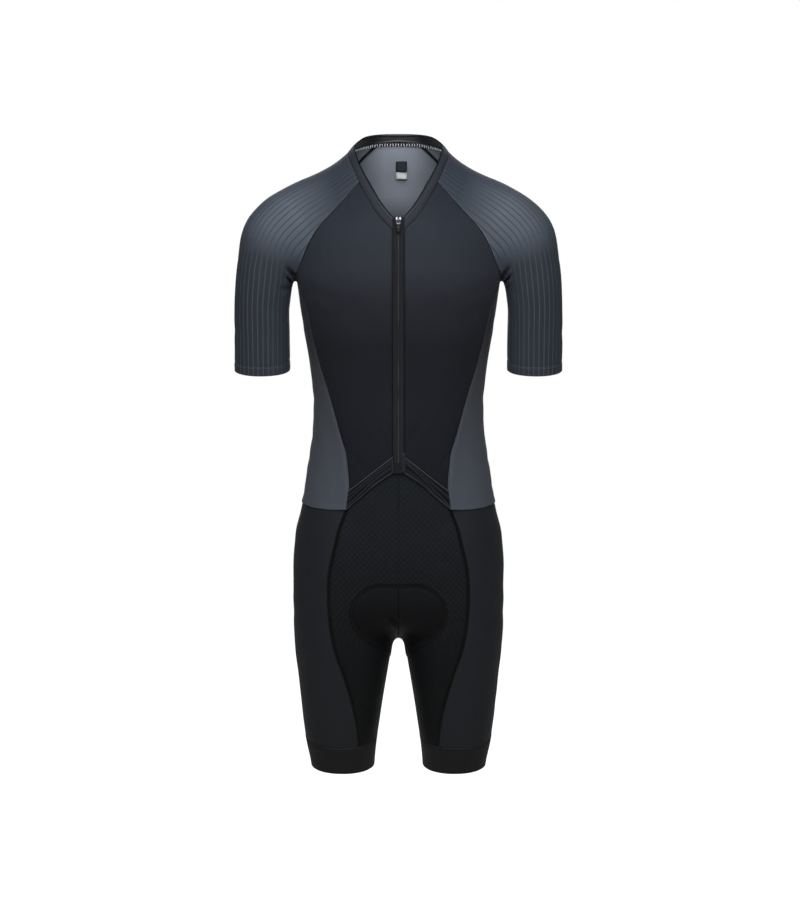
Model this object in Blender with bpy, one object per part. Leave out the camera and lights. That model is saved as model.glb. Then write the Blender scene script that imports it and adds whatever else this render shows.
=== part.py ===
"""A short-sleeved cycling skinsuit, hollow and filled out as it is worn.

Metres, +Z up, the wearer faces -Y and the wearer's left is +X. The origin is between the
shoulders, level with the front of the neck. Every panel is a closed wall on one smooth form;
the form is a union of upright and bent tubes whose sections stand in the short tables below.
"""

import math

import bmesh
import bpy
import numpy as np
from mathutils import Matrix, Vector

# Driving dimensions
WALL = 0.0012  # cloth
BAND_WALL = 0.0015  # neck band and leg bands
SEAM_GAP = 0.0003
ZIP_HALF = 0.0082  # from the middle of the zip to the edge of a front
ZIP_BASE_Z = -0.4612
ZIP_TAPE_END_Z = -0.4475
TAPE_GAP = 0.0006  # between the two zip tapes
NECK_V_Z = -0.0890  # top of the band at the zip
NECK_SEAM_Z = -0.1070  # foot of the band at the zip
HEM_PEAK_Z = -0.4610  # the inverted V at the zip
HEM_BAND_Z = -0.4380
FLAP_START_Z, FLAP_FULL_Z = -0.330, -0.400  # the fronts stand off the shorts below here
FLAP_SIDE, FLAP_ZIP, FLAP_REACH = 0.0024, 0.0050, 0.045
SLEEVE_HEM_Z, SLEEVE_TILT = -0.306, 0.0065
LEG_BAND_Z, LEG_BAND_TILT = -0.8540, 0.0155  # at the sides, and how much lower in front
LEG_HEM_Z, LEG_HEM_TILT = -0.8970, 0.0095
CROTCH_CENTRE_Z = -0.640
UNDERARM = (0.1560, 0.004, -0.1720)
UNDERARM_FRONT = (0.1530, -0.010, -0.1710)
UNDERARM_BACK = (0.1530, 0.018, -0.1710)
SEAM_ANGLE_AT_LEG_BAND = math.radians(-31)
SLEEVE_SEAM_TOP = -0.016  # the sleeve's own seam turns into the armhole this far below it

# How many facets run along each seam
SIDE_CELLS, RAGLAN_CELLS, TIP_CELLS = 13, 7, 2
FRONT_COLS, SIDE_COLS, BACK_COLS = 6, 2 * TIP_CELLS, 12
SLEEVE_COLS, SLEEVE_ROWS = 12, 5
HIDDEN_CELLS, CROTCH_FRONT_CELLS, INSEAM_CELLS = 4, 13, 6
LEG_SIDE_COLS = SIDE_COLS + BACK_COLS // 2
PAD_CELLS, PAD_COLS = 14, 3


def rows(names, *lines):
    """A short table, read by the name of its column."""
    return dict(zip(names.split(), np.array(lines, float).T))


TORSO = rows(
    "z half front back",
    (0.080, 0.052, 0.050, 0.062),
    (0.045, 0.0580, 0.054, 0.067),
    (0.015, 0.0700, 0.062, 0.078),
    (-0.020, 0.088, 0.076, 0.092),
    (-0.060, 0.112, 0.094, 0.105),
    (-0.110, 0.142, 0.110, 0.116),
    (-0.160, 0.1525, 0.117, 0.121),
    (-0.205, 0.148, 0.117, 0.120),
    (-0.250, 0.141, 0.113, 0.112),
    (-0.300, 0.133, 0.106, 0.099),
    (-0.350, 0.1275, 0.101, 0.088),
    (-0.400, 0.129, 0.099, 0.084),
    (-0.450, 0.136, 0.099, 0.090),
    (-0.500, 0.1435, 0.099, 0.102),
    (-0.550, 0.1515, 0.098, 0.115),
    (-0.600, 0.1545, 0.096, 0.123),
    (-0.640, 0.150, 0.090, 0.119),
)
LEG = rows(
    "z x y half front back",
    (-0.560, 0.074, 0.004, 0.072, 0.086, 0.104),
    (-0.620, 0.078, 0.004, 0.0735, 0.086, 0.108),
    (-0.680, 0.0815, 0.003, 0.0755, 0.084, 0.098),
    (-0.727, 0.083, 0.003, 0.0715, 0.079, 0.088),
    (-0.772, 0.084, 0.003, 0.065, 0.072, 0.080),
    (-0.802, 0.085, 0.003, 0.061, 0.067, 0.075),
    (-0.832, 0.0855, 0.003, 0.057, 0.062, 0.069),
    (-0.862, 0.0855, 0.003, 0.0525, 0.057, 0.063),
    (-0.892, 0.0838, 0.003, 0.0478, 0.052, 0.057),
    (-0.930, 0.0820, 0.003, 0.0445, 0.048, 0.053),
)
ARM = rows(
    "x y z across depth",
    (-0.010, 0.006, -0.054, 0.056, 0.062),
    (0.045, 0.006, -0.056, 0.056, 0.062),
    (0.092, 0.005, -0.064, 0.0565, 0.059),
    (0.140, 0.002, -0.084, 0.058, 0.056),
    (0.176, 0.000, -0.112, 0.0590, 0.053),
    (0.198, 0.000, -0.158, 0.0450, 0.049),
    (0.2045, 0.003, -0.205, 0.0415, 0.046),
    (0.205, 0.010, -0.260, 0.0415, 0.044),
    (0.205, 0.021, -0.345, 0.0415, 0.043),
)
TORSO_POWER, LIMB_POWER = 2.25, 2.1
CAP, CROTCH_CAP = 0.050, 0.060  # rounded ends of the tubes
UNDERARM_FILLET, SHOULDER_FILLET, CROTCH_FILLET = 0.007, 0.055, 0.022
FOLD = 0.005  # a wall turns round a crease over this width either way

# Seams of the wearer's left half. x and z as seen from the front or the back;
# turn is the angle in degrees round the body's axis, from the front.
SIDE_SEAM = rows(
    "x z",
    (0.0755, -0.5145),
    (0.0728, -0.5050),
    (0.0717, -0.4875),
    (0.0722, -0.4724),
    (0.0740, -0.4509),
    (0.0768, -0.4300),
    (0.0803, -0.4193),
    (0.0916, -0.3805),
    (0.1030, -0.3445),
    (0.1150, -0.3076),
    (0.1290, -0.2536),
    (0.1370, -0.2170),
)
RAGLAN_FRONT = rows(
    "x z",
    (0.1530, -0.1670),
    (0.1430, -0.1467),
    (0.1345, -0.1280),
    (0.1210, -0.1054),
    (0.1020, -0.0840),
    (0.0790, -0.0595),
    (0.0575, -0.0345),
)
RAGLAN_BACK = rows(
    "x z",
    (0.1490, -0.1600),
    (0.1420, -0.1330),
    (0.1300, -0.1020),
    (0.1110, -0.0660),
    (0.0870, -0.0270),
    (0.0605, 0.0130),
    (0.0315, 0.0415),
)
BACK_SEAM = rows(
    "x z",
    (0.1000, -0.4960),
    (0.1000, -0.4400),
    (0.1040, -0.3800),
    (0.1140, -0.3200),
    (0.1290, -0.2550),
    (0.1390, -0.2150),
)
SHORTS_SEAM = rows(
    "x z",
    (0.0755, -0.5145),
    (0.0850, -0.5396),
    (0.0920, -0.5673),
    (0.0983, -0.5934),
    (0.1018, -0.6167),
    (0.1024, -0.6430),
    (0.1009, -0.6690),
    (0.0970, -0.7013),
    (0.0900, -0.7300),
    (0.0815, -0.7533),
    (0.0730, -0.7790),
    (0.0658, -0.8053),
    (0.0600, -0.8345),
)
NECK_SEAM_FRONT = rows(
    "x z", (ZIP_HALF, NECK_SEAM_Z), (0.0210, -0.0939), (0.0316, -0.0806), (0.0440, -0.0590), (0.0575, -0.0345)
)
NECK_SEAM_SIDE = rows("x z", (0.0665, -0.0124), (0.0745, 0.0110))
NECK_SEAM_ROUND = rows("turn z", (100, 0.0255), (120, 0.0325), (139, 0.0378))
NECK_SEAM_BACK = rows("turn z", (168, 0.0425), (180, 0.0430))
NECK_EDGE_FRONT = rows(
    "x z", (ZIP_HALF, NECK_V_Z), (0.0226, -0.0706), (0.0407, -0.0393), (0.0589, -0.0027), (0.0640, 0.0142)
)
NECK_EDGE_ROUND = rows(
    "turn z", (90, 0.0320), (104, 0.0385), (120, 0.0455), (139, 0.0510), (162, 0.0548), (180, 0.0555)
)
WAIST_SEAM = rows(
    "turn z", (48, -0.5150), (62, -0.5130), (76, -0.5080), (90, -0.5030), (112, -0.4985), (130, -0.4965)
)
WAIST_BACK = rows("turn z", (155, -0.4930), (180, -0.4920))
PAD_OUTLINE = rows(
    "x y z",
    (0.0325, -0.10, -0.6270),
    (0.0530, -0.10, -0.6370),
    (0.0660, -0.09, -0.6530),
    (0.0690, -0.085, -0.6715),
    (0.0630, -0.080, -0.6895),
    (0.0485, -0.070, -0.7055),
    (0.0310, -0.052, -0.7180),
    (0.0170, -0.026, -0.7340),
    (0.0130, 0.003, -0.7400),
    (0.0200, 0.040, -0.7300),
    (0.0420, 0.080, -0.7080),
    (0.0620, 0.106, -0.6800),
    (0.0720, 0.120, -0.6450),
    (0.0660, 0.124, -0.6080),
    (0.0420, 0.124, -0.5850),
)
PAD_FRONT_Z, PAD_BACK_Z = -0.6270, -0.5820

# Small pieces. The slider's sizes are in its own frame: across, up the zip, and out of the cloth.
SLIDER_Z = -0.0945
SLIDER = {"shoulder": 0.0084, "foot": 0.0058, "up": 0.0052, "down": 0.0048, "lift": 0.0005, "plate": 0.0014}
BRIDGE = {"width": 0.0022, "up": 0.0026, "down": -0.0030, "height": 0.0046, "bar": 0.0010}
LINK = {"half": 0.0036, "rod": 0.0010, "hinge_v": -0.0004, "hinge_w": 0.0029, "foot_v": -0.0062,
        "foot": 0.0026}
TAB = {"top_half": 0.0036, "foot_half": 0.0024, "top_v": -0.0079, "foot_v": -0.0208, "thick": 0.0018}
COIL_HALF, COIL_THICK, ZIP_TAPE_WALL, ZIP_BASE_WALL = 0.0014, 0.0014, 0.0010, 0.0020
PAD = {"clear": 0.0034, "edge": 0.0020, "middle": 0.0070}  # clear of the shorts' inner face, and thicknesses
LABELS = rows("middle half top foot", (0.0045, 0.0084, 0.0165, 0.0018), (0.0045, 0.0084, 0.0013, -0.0090))
LABEL_CLEAR, LABEL_WALL = 0.0012, 0.0010
TAPE_HALF, TAPE_CLEAR, TAPE_WALL = 0.0022, 0.0007, 0.0008

# Colours, linear RGB
SLATE, INK, BLACK = (0.055, 0.062, 0.074), (0.028, 0.031, 0.036), (0.012, 0.013, 0.015)
SILVER = (0.8, 0.8, 0.8)


# The form


def smooth(knots, values, at):
    """Values between a table's rows, on a curve with no corners."""
    if knots[0] > knots[-1]:
        knots, values = knots[::-1], values[::-1]
    slope = np.gradient(values, knots)
    at = np.clip(at, knots[0], knots[-1])
    i = np.clip(np.searchsorted(knots, at) - 1, 0, len(knots) - 2)
    step = knots[i + 1] - knots[i]
    t = (at - knots[i]) / step
    ends = values[i] * (1 + 2 * t) * (1 - t) ** 2 + values[i + 1] * t * t * (3 - 2 * t)
    return ends + step * t * (1 - t) * (slope[i] * (1 - t) - slope[i + 1] * t)


def ease(t):
    t = np.clip(t, 0.0, 1.0)
    return t * t * (3 - 2 * t)


def fillet(a, b, reach):
    """The smooth union of two distances."""
    h = np.maximum(reach - np.abs(a - b), 0.0) / reach
    return np.minimum(a, b) - h * h * reach / 4


def tube(u, v, past, half, depth, cap, power):
    """Distance from a tube's skin: u and v lie across it and past is how far a point is beyond its end."""
    g = ((np.abs(u) / half) ** power + (np.abs(v) / depth) ** power + (past / cap) ** power) ** (1 / power)
    return np.sqrt(u * u + v * v + past * past) * (1 - 1 / np.maximum(g, 1e-6))


def torso(p):
    x, y, z = p.T
    front, back = smooth(TORSO["z"], TORSO["front"], z), smooth(TORSO["z"], TORSO["back"], z)
    depth = np.where(y < 0, front, back)
    above, below = np.maximum(z - TORSO["z"][0], 0), np.maximum(TORSO["z"][-1] - z, 0)
    cap = np.where(above > 0, CAP, CROTCH_CAP)
    return tube(x, y, above + below, smooth(TORSO["z"], TORSO["half"], z), depth, cap, TORSO_POWER)


def leg_axis(z):
    return smooth(LEG["z"], LEG["x"], z), smooth(LEG["z"], LEG["y"], z)


def leg(p, side):
    x, y, z = p.T
    cx, cy = leg_axis(z)
    front, back = smooth(LEG["z"], LEG["front"], z), smooth(LEG["z"], LEG["back"], z)
    past = np.maximum(z - LEG["z"][0], 0) + np.maximum(LEG["z"][-1] - z, 0)
    half = smooth(LEG["z"], LEG["half"], z)
    return tube(x - side * cx, y - cy, past, half, np.where(y < cy, front, back), CAP, LIMB_POWER)


def arm_line(count=90):
    """The arm's bent axis as close points, with its direction and sizes at each."""
    knots = np.array([ARM[k] for k in "xyz"]).T
    reach = np.concatenate([[0], np.cumsum(np.linalg.norm(np.diff(knots, axis=0), axis=1))])
    run = np.linspace(0, reach[-1], count)
    at = np.array([smooth(reach, ARM[k], run) for k in "xyz"]).T
    along = np.gradient(at, run, axis=0)
    along /= np.linalg.norm(along, axis=1)[:, None]
    return {"run": run, "at": at, "along": along, "across": smooth(reach, ARM["across"], run),
            "depth": smooth(reach, ARM["depth"], run)}


ARM_LINE = arm_line()


def arm_frame(run):
    """The axis's point, and its directions along, out and back, at each run."""
    r = np.clip(run, 0, ARM_LINE["run"][-1])
    run_of_line = ARM_LINE["run"]
    at, along = (
        np.array([np.interp(r, run_of_line, ARM_LINE[k][:, i]) for i in range(3)]).T for k in ("at", "along")
    )
    along /= np.linalg.norm(along, axis=1)[:, None]
    back = np.array([0.0, 1.0, 0.0]) - along * along[:, 1:2]
    back /= np.linalg.norm(back, axis=1)[:, None]
    return at + along * (run - r)[:, None], along, np.cross(along, back), back


def arm_place(p):
    """How far along the arm's axis points are, and how far out and back from it."""
    nearest = ((p[:, None, :] - ARM_LINE["at"][None]) ** 2).sum(2).argmin(1)
    off = p - ARM_LINE["at"][nearest]
    run = ARM_LINE["run"][nearest] + (off * ARM_LINE["along"][nearest]).sum(1)
    at, _, out, back = arm_frame(run)
    return run, ((p - at) * out).sum(1), ((p - at) * back).sum(1)


def arm(p):
    run, out, back = arm_place(np.column_stack([np.abs(p[:, 0]), p[:, 1:]]))
    past = np.maximum(-run, 0) + np.maximum(run - ARM_LINE["run"][-1], 0)
    across, depth = (np.interp(run, ARM_LINE["run"], ARM_LINE[k]) for k in ("across", "depth"))
    return tube(out, back, past, across, depth, CAP, LIMB_POWER)


def form(p):
    """Distance from the filled-out suit's surface, below zero inside."""
    shoulder = ease((p[:, 2] + 0.185) / 0.10)
    body = fillet(torso(p), arm(p), UNDERARM_FILLET + (SHOULDER_FILLET - UNDERARM_FILLET) * shoulder)
    return fillet(fillet(body, leg(p, 1), CROTCH_FILLET), leg(p, -1), CROTCH_FILLET)


def slope_of(p, step=1e-4):
    return np.stack([(form(p + step * e) - form(p - step * e)) / (2 * step) for e in np.eye(3)], 1)


def drop(p, turns=10):
    """Points moved onto the form, square to it."""
    shape, p = np.shape(p), np.reshape(p, (-1, 3)).astype(float)
    for _ in range(turns):
        g = slope_of(p)
        p = p - g * (form(p) / (g * g).sum(1))[:, None]
    return p.reshape(shape)


def normals(p):
    """Unit ways out of the cloth, evened out over the width of a fold."""
    shape, g = np.shape(p), slope_of(np.reshape(p, (-1, 3)), FOLD)
    return (g / np.linalg.norm(g, axis=1)[:, None]).reshape(shape)


def cast(start, way, reach):
    """Where rays that start inside leave the form."""
    near, far = np.zeros(len(start)), np.zeros(len(start)) + reach
    for _ in range(32):
        mid = (near + far) / 2
        inside = form(start + way * mid[:, None]) < 0
        near, far = np.where(inside, mid, near), np.where(inside, far, mid)
    return start + way * near[:, None]


# Seams


def seen(table, side):
    """A seam's points from its x and z, on the front (-1) or the back (1)."""
    x, z = np.atleast_1d(table["x"]), np.atleast_1d(table["z"])
    start = np.column_stack([x, np.zeros_like(x), z])
    return cast(start, np.tile([0.0, side, 0.0], (len(x), 1)), 0.2)


def round_body(table):
    turn = np.radians(table["turn"])
    start = np.column_stack([np.zeros_like(turn), np.zeros_like(turn), table["z"]])
    return cast(start, np.column_stack([np.sin(turn), -np.cos(turn), np.zeros_like(turn)]), 0.2)


def round_leg(turn, z):
    x, y = leg_axis(z)
    reach = np.minimum(0.13, x / np.maximum(-np.sin(turn), 1e-6))  # no further than the gap between the legs
    way = np.column_stack([np.sin(turn), -np.cos(turn), np.zeros_like(turn)])
    return cast(np.column_stack([x, y, z]), way, reach)


def under_body(turn):
    """The middle of the crotch: turn runs from the front (0) by the foot (90 degrees) to the back."""
    start = np.tile([0.0, 0.0, CROTCH_CENTRE_Z], (len(turn), 1))
    return cast(start, np.column_stack([np.zeros_like(turn), -np.cos(turn), -np.sin(turn)]), 0.2)


def curve(points, cells):
    """A smooth curve through a seam's points, laid on the form, as even cells."""
    points = np.asarray(points, float)
    reach = np.concatenate([[0], np.cumsum(np.linalg.norm(np.diff(points, axis=0), axis=1))])
    close = np.linspace(0, reach[-1], 40 * cells + 1)
    fine = np.array([smooth(reach, points[:, k], close) for k in range(3)]).T
    run = np.concatenate([[0], np.cumsum(np.linalg.norm(np.diff(fine, axis=0), axis=1))])
    even = np.linspace(0, run[-1], cells + 1)
    laid = drop(np.array([np.interp(even, run, fine[:, k]) for k in range(3)]).T)
    laid[0], laid[-1] = drop(points[[0, -1]])
    return laid


def chain(*parts):
    """Seams end to end, each starting where the last one stops."""
    return np.concatenate([parts[0]] + [part[1:] for part in parts[1:]])


def mirrored(points):
    return points * [-1, 1, 1]


def on_middle(points):
    points[:, 0] = 0.0
    return points


def make_seams():
    s = {}
    tip, tip_front, tip_back = (drop([p]) for p in (UNDERARM, UNDERARM_FRONT, UNDERARM_BACK))
    neck_front, neck_back = seen(NECK_SEAM_FRONT, -1), seen(rows("x z", (0.0315, 0.0415)), 1)
    side = np.concatenate([seen(SIDE_SEAM, -1), tip_front])  # the hem band ends at its third point
    s["side"] = chain(curve(side[:3], 1), curve(side[2:], SIDE_CELLS - 1))
    s["raglan_front"] = curve(np.concatenate([tip_front, seen(RAGLAN_FRONT, -1)]), RAGLAN_CELLS)
    s["raglan_back"] = curve(np.concatenate([tip_back, seen(RAGLAN_BACK, 1)]), RAGLAN_CELLS)
    s["back_side"] = curve(np.concatenate([seen(BACK_SEAM, 1), tip_back]), SIDE_CELLS)
    s["tip_front"] = curve(np.concatenate([tip, tip_front]), TIP_CELLS)
    s["tip_back"] = curve(np.concatenate([tip, tip_back]), TIP_CELLS)
    s["neck_front"] = curve(neck_front, FRONT_COLS)
    over = np.concatenate([neck_front[-1:], seen(NECK_SEAM_SIDE, -1), round_body(NECK_SEAM_ROUND), neck_back])
    s["neck_side"] = curve(over, SLEEVE_COLS)
    s["neck_back"] = curve(np.concatenate([neck_back, round_body(NECK_SEAM_BACK)]), BACK_COLS // 2)
    s["neck_edge"] = curve(
        np.concatenate([seen(NECK_EDGE_FRONT, -1), round_body(NECK_EDGE_ROUND)]),
        FRONT_COLS + SLEEVE_COLS + BACK_COLS // 2,
    )
    s["waist_side"] = curve(
        np.concatenate([s["side"][:1], round_body(WAIST_SEAM), s["back_side"][:1]]), SIDE_COLS
    )
    s["waist_back"] = curve(np.concatenate([s["back_side"][:1], round_body(WAIST_BACK)]), BACK_COLS // 2)
    zip_line = rows("x z", *[(ZIP_HALF, z) for z in np.linspace(HEM_BAND_Z, NECK_SEAM_Z, 9)])
    s["zip"] = curve(seen(zip_line, -1), SIDE_CELLS - 1 + RAGLAN_CELLS)
    s["zip"][:, 0] = ZIP_HALF
    top = seen(rows("x z", (0.030, -0.4550), (0.052, -0.4724)), -1)
    foot = seen(rows("x z", (ZIP_HALF, HEM_PEAK_Z), (0.030, -0.4755), (0.052, -0.4945)), -1)
    s["band_top"] = curve(np.concatenate([s["zip"][:1], top, s["side"][1:2]]), FRONT_COLS)
    s["band_foot"] = curve(np.concatenate([foot, s["side"][:1]]), FRONT_COLS)
    return s


def make_leg_seams(s):
    """The seams of the shorts' left half, from the waist down."""
    quarter = math.pi / 2
    ring = np.linspace(SEAM_ANGLE_AT_LEG_BAND, -quarter, FRONT_COLS + 1)
    rear = np.linspace(SEAM_ANGLE_AT_LEG_BAND, 3 * quarter, LEG_SIDE_COLS + 1)
    for name, z, tilt in (("band", LEG_BAND_Z, LEG_BAND_TILT), ("hem", LEG_HEM_Z, LEG_HEM_TILT)):
        s[f"leg_{name}_front"] = round_leg(ring, z - tilt * np.cos(ring))
        s[f"leg_{name}_side"] = round_leg(rear, z - tilt * np.cos(rear))
    top = s["side"][HIDDEN_CELLS]
    upper = rows("x z", *[(0.0, z) for z in np.linspace(top[2], CROTCH_CENTRE_Z, 9)[:-1]])
    fork = under_body(np.radians([90.0]))
    front = np.concatenate([seen(upper, -1), under_body(np.radians(np.arange(0, 91, 10)))])
    lower = rows("x z", *[(0.0, z) for z in np.linspace(-0.4920, CROTCH_CENTRE_Z, 6)[:-1]])
    back = np.concatenate([seen(lower, 1), under_body(np.radians(np.arange(180, 89, -10)))])
    s["middle_front"] = on_middle(curve(front, CROTCH_FRONT_CELLS))
    s["middle_back"] = on_middle(curve(back, CROTCH_FRONT_CELLS - HIDDEN_CELLS))
    z = np.array([-0.728, -0.745, -0.775, -0.805, -0.835])
    inner = round_leg(np.full(5, -quarter), z)
    s["inseam"] = curve(np.concatenate([fork, inner, s["leg_band_front"][-1:]]), INSEAM_CELLS)
    s["shorts_side"] = curve(
        np.concatenate([seen(SHORTS_SEAM, -1), s["leg_band_side"][:1]]),
        CROTCH_FRONT_CELLS + INSEAM_CELLS - HIDDEN_CELLS,
    )
    s["shorts_side"][0] = s["side"][0]
    hidden = seen(rows("x z", (0.027, top[2]), (0.054, top[2])), -1)
    s["shorts_top"] = curve(np.concatenate([s["middle_front"][:1], hidden, [top]]), FRONT_COLS)
    return s


# Panels


class Upright:
    """Places round an upright axis: turn from the facing direction, z, and distance from the axis."""

    def __init__(self, facing, axis=None):
        self.facing, self.axis = math.radians(facing), axis

    def centre(self, z):
        x, y = self.axis(z) if self.axis else (np.zeros_like(z), np.zeros_like(z))
        return np.column_stack([x, y, z])

    def place(self, p):
        off = p - self.centre(p[:, 2])
        turn = np.arctan2(off[:, 0], -off[:, 1]) - self.facing
        turn = (turn + math.pi) % (2 * math.pi) - math.pi
        return np.column_stack([turn, p[:, 2], np.hypot(off[:, 0], off[:, 1])])

    def point(self, q):
        turn = q[:, 0] + self.facing
        return self.centre(q[:, 1]) + np.column_stack([np.sin(turn), -np.cos(turn), 0 * turn]) * q[:, 2:]


class Bent:
    """Places round the arm's axis: turn from its outer side, run along it, and distance from it."""

    def place(self, p):
        run, out, back = arm_place(p)
        return np.column_stack([np.arctan2(back, out), run, np.hypot(out, back)])

    def point(self, q):
        at, _, out, back = arm_frame(q[:, 1])
        return at + (out * np.cos(q[:, :1]) + back * np.sin(q[:, :1])) * q[:, 2:]


def shares(line):
    """How far along an edge its points stand, from 0 to 1."""
    run = np.concatenate([[0], np.cumsum(np.linalg.norm(np.diff(line, axis=0), axis=1))])
    return run / run[-1]


def patch(core, foot, head, start, end, closed=False):
    """A panel's grid on the form, between the seams on its four sides: foot and head run the
    same way, and start and end join their first and last points."""
    edges = [core.place(e) for e in (foot, head, start, end)]
    if closed:  # the first edge lies before half a turn and the last one after it
        edges[2][:, 0] -= np.where(edges[2][:, 0] > 0, 2 * math.pi, 0)
        edges[3][:, 0] += np.where(edges[3][:, 0] < 0, 2 * math.pi, 0)
        edges[0][0, 0], edges[0][-1, 0] = edges[2][0, 0], edges[3][0, 0]
    foot_q, head_q, start_q, end_q = edges
    u = ((shares(foot) + shares(head)) / 2)[None, :, None]
    v = ((shares(start) + shares(end)) / 2)[:, None, None]
    grid = (1 - v) * foot_q[None] + v * head_q[None] + (1 - u) * start_q[:, None] + u * end_q[:, None]
    grid -= (1 - u) * ((1 - v) * foot_q[0] + v * head_q[0]) + u * ((1 - v) * foot_q[-1] + v * head_q[-1])
    points = drop(core.point(grid.reshape(-1, 3))).reshape(grid.shape)
    points[0], points[-1], points[:, 0], points[:, -1] = foot, head, start, end
    return points


def inward(line, inner):
    """Unit ways from an edge's points into the panel, square to the edge."""
    along = np.gradient(line, axis=0)
    along /= np.linalg.norm(along, axis=1)[:, None]
    way = inner - line
    way -= along * (way * along).sum(1)[:, None]
    return way / np.linalg.norm(way, axis=1)[:, None]


def trimmed(grid, keep, welded):
    """The grid drawn in by half the seam gap along its edges, but for the sides it keeps."""
    out, d = grid.copy(), SEAM_GAP / 2
    out[0] += d * inward(grid[0], grid[1])
    out[-1] += d * inward(grid[-1], grid[-2])
    for side, a, b in (("start", 0, 1), ("end", -1, -2)):
        if side not in keep:
            out[welded:, a] += d * inward(grid[:, a], grid[:, b])[welded:]
    return out


def flap(p):
    """How far the fronts stand off the form, over the top of the shorts."""
    down = ease((FLAP_START_Z - p[..., 2]) / (FLAP_START_Z - FLAP_FULL_Z))
    middle = np.exp(-((p[..., 0] / FLAP_REACH) ** 2))
    return down * (FLAP_SIDE + (FLAP_ZIP - FLAP_SIDE) * middle)


def material(name, colour, rough, metal=0.0):
    made = bpy.data.materials.get(name)
    if made is None:
        made = bpy.data.materials.new(name)
        made.use_nodes = True
        shader = made.node_tree.nodes["Principled BSDF"]
        shader.inputs["Base Color"].default_value = (*colour, 1.0)
        shader.inputs["Roughness"].default_value = rough
        shader.inputs["Metallic"].default_value = metal
    return made


def add(name, verts, faces, finish):
    mesh = bpy.data.meshes.new(name)
    mesh.from_pydata([tuple(v) for v in verts], [], faces)
    mesh.materials.append(finish)
    mesh.validate()
    mesh.shade_smooth()
    obj = bpy.data.objects.new(name, mesh)
    bpy.context.scene.collection.objects.link(obj)
    outward = bmesh.new()
    outward.from_mesh(mesh)
    bmesh.ops.recalc_face_normals(outward, faces=outward.faces)
    outward.to_mesh(mesh)
    outward.free()
    return obj


def halved(verts, a, b, c, d):
    """A four-sided facet as two, parted along its shorter diagonal."""
    if np.linalg.norm(verts[a] - verts[c]) < np.linalg.norm(verts[b] - verts[d]):
        return [(a, b, c), (a, c, d)]
    return [(a, b, d), (b, c, d)]


def shell(name, outer, inner, finish, ring=False, welded=0):
    """A closed wall between two grids. A ring's last column meets its first one, all the way
    or only in the first welded rows."""
    n, m = outer.shape[:2]
    joined = n if ring else welded
    number = np.arange(n * m).reshape(n, m)
    number[:joined, -1] = number[:joined, 0]
    used, number = np.unique(number, return_inverse=True)
    number = number.reshape(n, m)
    verts = np.concatenate([outer.reshape(-1, 3)[used], inner.reshape(-1, 3)[used]])
    back = len(used)
    faces = []
    for i in range(n - 1):
        for j in range(m - 1):
            a, b, c, d = number[i, j], number[i, j + 1], number[i + 1, j + 1], number[i + 1, j]
            halves = halved(verts, a, b, c, d)
            faces += halves
            faces += [[back + k for k in reversed(half)] for half in halves]
    edge = [number[0, ::-1], number[-1]]
    open_from = max(joined - 1, 0)
    if joined < n:
        edge += [number[open_from:, 0], number[open_from:, -1][::-1]]
    for line in edge:
        for a, b in zip(line[:-1], line[1:]):
            faces += halved(verts, a, back + a, back + b, b)
    faces = [[int(k) for k in face] for face in faces]
    return add(name, verts, faces, finish)


def wall(name, grid, finish, thick=WALL, lift=None, keep=(), **shape):
    """A cloth panel: its grid is the outer face, and the inner one lies square below it."""
    square = normals(grid)
    outer = trimmed(grid, keep, shape.get("welded", 0))
    if lift is not None:
        outer = outer + square * lift(grid)[..., None]
    return shell(name, outer, outer - square * thick, finish, **shape)


def both_sides(name, grid, finish, **how):
    """The wearer's left panel and its mirrored right one."""
    wall(f"{name}_left", grid, finish, **how)
    how["keep"] = [{"start": "end", "end": "start"}[side] for side in how.get("keep", ())]
    wall(f"{name}_right", mirrored(grid)[:, ::-1], finish, **how)


def build_jersey(s):
    front_cloth = material("lycra_front", INK, 0.55)
    slate = material("slate_cloth", SLATE, 0.6)
    body = Upright(0)
    outer_edge = chain(s["side"][1:], s["raglan_front"])
    front_grid = patch(body, s["band_top"], s["neck_front"], s["zip"], outer_edge)
    both_sides("front", front_grid, front_cloth, lift=flap)
    both_sides("front_hem", np.array([s["band_foot"], s["band_top"]]), slate, lift=flap)
    tip = chain(s["tip_front"][::-1], s["tip_back"])
    side_grid = patch(Upright(90), s["waist_side"], tip, s["side"], s["back_side"])
    both_sides("side", side_grid, slate)
    waist = chain(s["waist_back"], mirrored(s["waist_back"][::-1]))
    neck = chain(s["neck_back"], mirrored(s["neck_back"][::-1]))
    edge = chain(s["back_side"], s["raglan_back"])
    back_grid = patch(Upright(180), waist, neck, edge, mirrored(edge))
    wall("back", back_grid, slate)
    build_sleeves(s)


def build_sleeves(s):
    turn = np.linspace(-math.pi, math.pi, SLEEVE_COLS + 1)
    lowest = ARM_LINE["run"][np.abs(ARM_LINE["at"][:, 2] - SLEEVE_HEM_Z).argmin()]
    run = lowest - SLEEVE_TILT * np.sin(turn)
    at, _, out, back = arm_frame(run)
    hem = cast(at, out * np.cos(turn)[:, None] + back * np.sin(turn)[:, None], 0.09)
    hem[-1] = hem[0]
    top = arm_place(s["tip_front"][:1])[0][0] - SLEEVE_SEAM_TOP
    at, _, out, _ = arm_frame(np.linspace(lowest, top, 5)[1:])
    seam = curve(np.concatenate([hem[:1], cast(at, -out, 0.09), s["tip_front"][:1]]), SLEEVE_ROWS)
    start = chain(seam, s["tip_front"][[0, -1]], s["raglan_front"])
    end = chain(seam, s["tip_back"][[0, -1]], s["raglan_back"])
    grid = patch(Bent(), hem, s["neck_side"], start, end, closed=True)
    both_sides("sleeve", grid, material("sleeve_cloth", SLATE, 0.55), welded=SLEEVE_ROWS + 1)


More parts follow.
